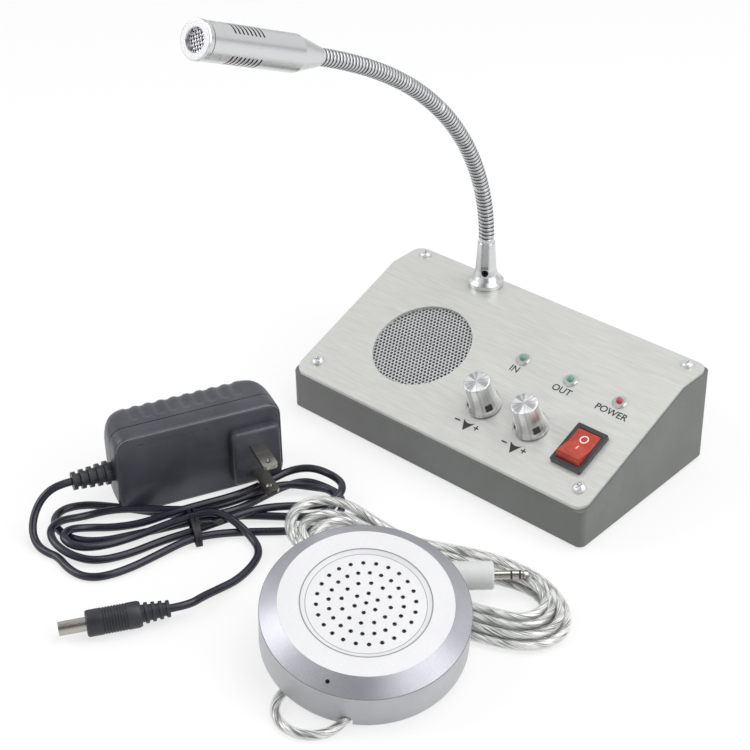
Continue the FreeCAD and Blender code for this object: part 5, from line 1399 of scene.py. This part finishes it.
@dataclass
class Console:
    """Sloped case: its screws, knobs, printing and the rocker's marks."""

    depth: float = 87.0
    front_height: float = 18.7
    back_height: float = 44.2
    ledge: float = 19.2
    foot: float = 1.5
    knob_s: float = 24.6
    knob_xs: tuple[float, ...] = (11.0, 36.0)
    pointer_angle: float = -26.0
    screw_x: float = 72.0
    switch_x: float = 60.8
    rocker_tilt: float = -10.0
    rocker_middle: float = 2.4
    rocker_rise: float = 1.2
    rocker_half: float = 7.5
    speaker: Pair = (-34.85, 38.5)
    panel_thickness: float = 1.5
    grille_radius: float = 25.0
    hole_pitch: float = 1.8
    hole_radius: float = 0.68
    film: float = 0.03
    row_share: float = 0.866
    screw_turns: tuple[int, ...] = (20, 65, 40, 10)
    word_places: tuple[tuple[str, float], ...] = (("IN", 10.6), ("OUT", 35.6), ("POWER", 60.9))
    word_s: float = 46.6
    word_size: float = 4.5
    arrow: tuple[Pair, ...] = ((0, -2.9), (2.9, 2.3), (1.4, 1.5), (0, 1.2), (-1.4, 1.5), (-2.9, 2.3))
    screw_profile: tuple[Pair, ...] = (
        (0, -2), (1.5, -2), (1.5, 0), (2.75, 0), (2.8, 0.15), (2.72, 0.8), (2.4, 1.3), (1.8, 1.68),
        (1.0, 1.84), (0, 1.88))

    @property
    def slope(self) -> float:
        """Slope of the panel in radians."""
        return atan2(self.back_height - self.front_height, self.depth - self.ledge)

    def on_slope(self, x: float, s: float, height: float = 0.0) -> Matrix:
        """Frame on the sloped panel, Z square to it.

        Args:
            x: Place across the panel.
            s: Place up the slope, from its front edge.
            height: Height above it.

        Returns:
            The frame.
        """
        up = Vector((0, -sin(self.slope), cos(self.slope)))
        ahead = Vector((0, cos(self.slope), sin(self.slope)))
        origin = Vector((x, -self.depth / 2, self.foot + self.front_height)) + ahead * s + up * height
        return frame_at(origin, (1, 0, 0), up)

    def screw_frames(self) -> list[Matrix]:
        """Frames of the four panel screws.

        Returns:
            The frames, the two in front first.
        """
        top = self.foot + self.back_height
        back = [frame_at((x, self.depth / 2 - 5.5, top), (1, 0, 0), (0, 0, 1))
                for x in (-self.screw_x, self.screw_x)]
        return [self.on_slope(x, 8.8) for x in (-self.screw_x, self.screw_x)] + back

    def screw(self, index: int, place: Matrix) -> None:
        """Pan-head screw with a cross recess.

        Args:
            index: Which screw, from nought.
            place: Its frame.
        """
        turned = turned_by(place, self.screw_turns[index])
        head = lathe(f"pan_screw_{index + 1}", self.screw_profile, turned, 40)
        for quarter in (0, 90):
            carve(head, slab("cross_cut", (-1.6, 1.6), (-0.3, 0.3), (0.9, 3.0), turned_by(turned, quarter)))
        settle(head, ZINC_SCREW, "screw_steel", "base", "panel_screws")

    def knob(self, name: str, x: float) -> None:
        """Turned knob with its flared skirt, four pockets and dark pointer.

        Args:
            name: Which knob.
            x: Its place across the panel.
        """
        place = self.on_slope(x, self.knob_s)
        body = lathe(f"turned_knob_{name}", [
            (3.2, 0.6), (7.35, 0.52), (7.6, 0.66), (7.68, 0.9), (7.7, 1.9), (7.55, 2.3), (7.15, 2.9),
            (6.85, 3.7), (6.6, 4.7), (6.4, 5.6), (6.25, 6.6), (5.72, 15.0), (5.6, 15.25), (5.35, 15.42),
            (5.2, 15.48), (0, 15.48)], place, 96)
        for quarter in range(4):
            turned = turned_by(place, self.pointer_angle + 90 * quarter)
            carve(body, slab("pocket_cut", (6.15, 9), (-1.6, 1.6), (3.0, 5.9), turned))
        for polygon in body.data.polygons:
            polygon.use_smooth = True
        body.data.set_sharp_from_angle(angle=radians(30))
        settle(body, KNOB_ALUMINIUM, "knob_silver", f"knob_{name}", f"knob_{name}")
        turned = turned_by(place, self.pointer_angle)
        inlay = slab(f"pointer_inlay_{name}", (6.14, 6.75), (-1.45, 1.45), (3.1, 5.8), turned)
        settle(inlay, MARK_BLACK, "knob_silver", f"knob_{name}")

    def words(self, name: str, text: str, place: Matrix, size: float, weight: float = 0.06) -> None:
        """Print text on the panel as a thin film.

        Args:
            name: Name of the piece.
            text: What it says.
            place: Its frame.
            size: Height of the type.
            weight: How far its strokes are thickened.
        """
        font = bpy.data.curves.new(name, "FONT")
        font.body = text
        font.size = size * MM
        font.align_x = "CENTER"
        font.align_y = "CENTER"
        font.extrude = 0.02 * MM
        font.offset = weight * MM
        font.resolution_u = 6
        draft = new_object(name + "_draft", font)
        mesh = baked(draft)
        bpy.data.objects.remove(draft)
        settle(new_object(name, mesh, place), MARK_BLACK, "brushed_panel", "base")

    def grille(self) -> None:
        """Perforated sheet behind the panel's hole: round holes in staggered rows."""
        place = self.on_slope(self.speaker[0], self.speaker[1], -self.panel_thickness)
        pitch, hole, thick, sides = self.hole_pitch, self.hole_radius, 0.8, 12
        rise = pitch * self.row_share
        points: list[Vector] = []
        faces: list[list[int]] = []
        rows = int(self.grille_radius / rise) + 1
        cell = [pitch / 2 if j % 2 == 0 else pitch / sqrt(3) for j in range(sides)]
        for row in range(-rows, rows + 1):
            for column in range(-rows, rows + 1):
                x, y = (column + (row % 2) / 2) * pitch, row * pitch * self.row_share
                if hypot(x, y) > self.grille_radius - pitch:
                    continue
                faces += ring_faces(3, sides, base=len(points))
                for reaches, height in ((cell, 0.0), ([hole] * sides, 0.0), ([hole] * sides, -thick)):
                    points += [Vector((x + reach * c, y + reach * s, height))
                               for reach, (c, s) in zip(reaches, circle(sides))]
        settle(solid("perforated_sheet", points, faces, place, 40.0), GRILLE_LACQUER, "mesh_silver", "base",
               "speaker_grille")
        # Black cloth right behind the sheet: partly a dust cloth, partly painted shade that keeps the holes
        # dark.
        settle(lathe("dust_cloth_and_shade", [(0, -1.1), (24.9, -1.1), (24.9, -1.3), (0, -1.3)], place), CONE_PAPER,
               "cone_black", "base")

    def printing(self) -> None:
        """Screen-printed words and marks of the panel."""
        for text, x in self.word_places:
            self.words(f"word_{text.lower()}", text, self.on_slope(x, self.word_s, self.film), self.word_size)
        for number, x in enumerate(self.knob_xs, 1):
            for mark, place, size, weight in ((Mark.LESS, (x - 5.5, 12.7), 5.4, 0.12),
                                              (Mark.MORE, (x + 4.6, 12.6), 5.0, 0.08)):
                self.words(f"mark_{mark.name.lower()}_{number}", mark.value, self.on_slope(*place, self.film),
                           size, weight)
            arrow = flat_prism(f"mark_arrow_{number}", self.arrow, 0.01, 0.05, self.on_slope(x - 0.2, 12.2))
            settle(arrow, MARK_BLACK, "brushed_panel", "base")

    def rocker_marks(self) -> None:
        """Ring and bar moulded into the rocker's faces."""
        tipped = turned_by(self.on_slope(self.switch_x, self.knob_s), self.rocker_tilt, "X")
        rise, half, low, high = self.rocker_rise, self.rocker_half, -0.05, 0.04

        def on_face(s: float, tilt: float) -> Matrix:
            """Frame on one of the rocker's two faces."""
            spot = Vector((0, s, self.rocker_middle + rise * abs(s) / half)) * MM
            return tipped @ Matrix.Translation(spot) @ Matrix.Rotation(tilt, 4, "X")

        ring = lathe("rocker_ring", [(1.4, low), (1.4, high), (1.95, high), (1.95, low)],
                     on_face(3.4, atan2(rise, half)), 40)
        settle(ring, MARK_WHITE, "rocker_red", "rocker")
        bar = slab("rocker_bar", (-0.24, 0.24), (-1.1, 1.1), (low, high), on_face(-1.4, -atan2(rise, half)))
        settle(bar, MARK_WHITE, "rocker_red", "rocker")

    def build(self) -> None:
        """Make the console's own pieces."""
        for index, place in enumerate(self.screw_frames()):
            self.screw(index, place)
        for name, x in zip(("in", "out"), self.knob_xs):
            self.knob(name, x)
        self.grille()
        self.printing()
        self.rocker_marks()


@dataclass
class Studio:
    """Pale floor and backdrop, soft lights and the camera."""

    position: Point = (400.81, -508.04, 453.0)
    azimuth: float = 42.8437
    elevation: float = 33.2294
    roll: float = -1.2827
    focal_pixels: float = 1789.5
    image_pixels: float = 750.0
    fill: float = 0.5
    floor_half: float = 3000.0
    sensor: float = 36.0
    aim: Point = (0, -80, 40)
    bands: tuple[tuple[float, str], ...] = (
        (0.0, "d8d8d8"), (0.05, "8a8b8d"), (0.11, "ececec"), (0.52, "f6f6f6"), (0.66, "c0c0c2"),
        (0.78, "e4e4e4"), (0.9, "e8e8e8"), (0.98, "7c7c82"))
    dark_side: Point = (0.465, -0.478, 0.745)

    def camera(self) -> None:
        """Set the camera."""
        az, el, roll = (radians(v) for v in (self.azimuth, self.elevation, self.roll))
        back = Vector((sin(az) * cos(el), -cos(az) * cos(el), sin(el)))
        right = Vector((cos(az), sin(az), 0))
        up = back.cross(right)
        across = right * cos(roll) + up * sin(roll)
        upward = up * cos(roll) - right * sin(roll)
        matrix = Matrix((across, upward, back)).transposed().to_4x4()
        matrix.translation = Vector(self.position) * MM
        data = bpy.data.cameras.new("studio_camera")
        data.sensor_width = self.sensor
        data.lens = self.focal_pixels * self.sensor / self.image_pixels
        data.clip_start = 0.01
        bpy.context.scene.camera = new_object("studio_camera", data, matrix)

    def seen_share(self, tree: Tree, share: float) -> Socket:
        """Share of plain white for rays that see the stage directly, in metal or through glass.

        Args:
            tree: Tree of the material.
            share: Share of white.

        Returns:
            The number.
        """
        path = add_node(tree, "ShaderNodeLightPath").outputs
        seen = path["Is Camera Ray"]
        for other, operation in ((path["Is Glossy Ray"], "MAXIMUM"), (path["Is Transmission Ray"], "MAXIMUM"),
                                 (share, "MULTIPLY")):
            seen = add_node(tree, "ShaderNodeMath", {0: seen, 1: other}, operation=operation).outputs[0]
        return seen

    def floor(self) -> None:
        """Lay the floor."""
        corners = [Vector((x, y, 0)) * self.floor_half for x, y in ((-1, -1), (1, -1), (1, 1), (-1, 1))]
        floor = solid("studio_floor", corners, [[0, 1, 2, 3]])
        material = bpy.data.materials.new("white_paper_floor")
        material.use_nodes = True
        tree = material.node_tree
        shader = tree.nodes["Principled BSDF"]
        shader.inputs["Base Color"].default_value = linear("f4f4f4")
        shader.inputs["Roughness"].default_value = 0.9
        glow = add_node(tree, "ShaderNodeEmission", {"Color": (1, 1, 1, 1), "Strength": 1.0})
        mixed = add_node(tree, "ShaderNodeMixShader", {0: self.seen_share(tree, 0.72), 1: shader.outputs[0],
                                                       2: glow.outputs[0]})
        tree.links.new(mixed.outputs[0], tree.nodes["Material Output"].inputs["Surface"])
        floor.data.materials.append(material)

    def surroundings(self) -> None:
        """White for the camera, a softer light on the object, and bands of grey for metal to mirror."""
        world = bpy.data.worlds.new("studio_world")
        bpy.context.scene.world = world
        world.use_nodes = True
        tree = world.node_tree
        path = add_node(tree, "ShaderNodeLightPath").outputs
        seen = add_node(tree, "ShaderNodeMath", {0: path["Is Camera Ray"], 1: path["Is Transmission Ray"]},
                        operation="MAXIMUM")
        course = add_node(tree, "ShaderNodeTexCoord").outputs["Generated"]
        height = add_node(tree, "ShaderNodeSeparateXYZ", {"Vector": course})
        bands = add_node(tree, "ShaderNodeValToRGB", {"Fac": height.outputs["Z"]}, self.bands)
        near = add_node(tree, "ShaderNodeVectorMath", {0: course, 1: self.dark_side}, operation="DOT_PRODUCT")
        card = add_node(tree, "ShaderNodeMapRange", {"Value": near.outputs["Value"], "From Min": 0.78,
                                                     "From Max": 0.97, "To Min": 0.0, "To Max": 0.86})
        carded = add_node(tree, "ShaderNodeMix", {
            "Factor": card.outputs["Result"], "A": bands.outputs["Color"], "B": linear("303038")},
            data_type="RGBA")
        plain = add_node(tree, "ShaderNodeMix", {
            "Factor": path["Is Glossy Ray"], "A": (*[self.fill] * 3, 1.0), "B": carded.outputs[2]},
            data_type="RGBA")
        white = add_node(tree, "ShaderNodeMix", {
            "Factor": seen.outputs[0], "A": plain.outputs[2], "B": (1.0, 1.0, 1.0, 1.0)}, data_type="RGBA")
        tree.links.new(white.outputs[2], tree.nodes["Background"].inputs["Color"])

    def lamp(self, name: str, spot: Point, size: float, power: float) -> None:
        """Hang one softbox that faces the object.

        Args:
            name: Name of the lamp.
            spot: Its place.
            size: Side of its square.
            power: Its power in watts.
        """
        data = bpy.data.lights.new(name, "AREA")
        data.shape = "SQUARE"
        data.size = size * MM
        data.energy = power
        aim = Vector(self.aim) - Vector(spot)
        matrix = aim.to_track_quat("-Z", "Y").to_matrix().to_4x4()
        matrix.translation = Vector(spot) * MM
        new_object(name, data, matrix)

    def build(self) -> None:
        """Set up the studio."""
        self.camera()
        self.floor()
        self.surroundings()
        self.lamp("softbox_left", (-1000, -800, 1000), 900, 8.0)
        self.lamp("softbox_right", (900, 100, 800), 1100, 6.5)
        self.lamp("softbox_top", (250, 300, 1500), 900, 8.0)
        bpy.context.scene.view_settings.view_transform = "Standard"


def main() -> None:
    """Build the scene piece by piece."""
    logging.basicConfig(level=logging.INFO, format="%(name)s: %(message)s")
    Studio().build()
    dress_nodes()
    ClearCord().build()
    PowerCord().build()
    Adapter().build()
    CustomerSpeaker().build()
    Microphone().build()
    Console().build()


if __name__ == "__main__":
    main()
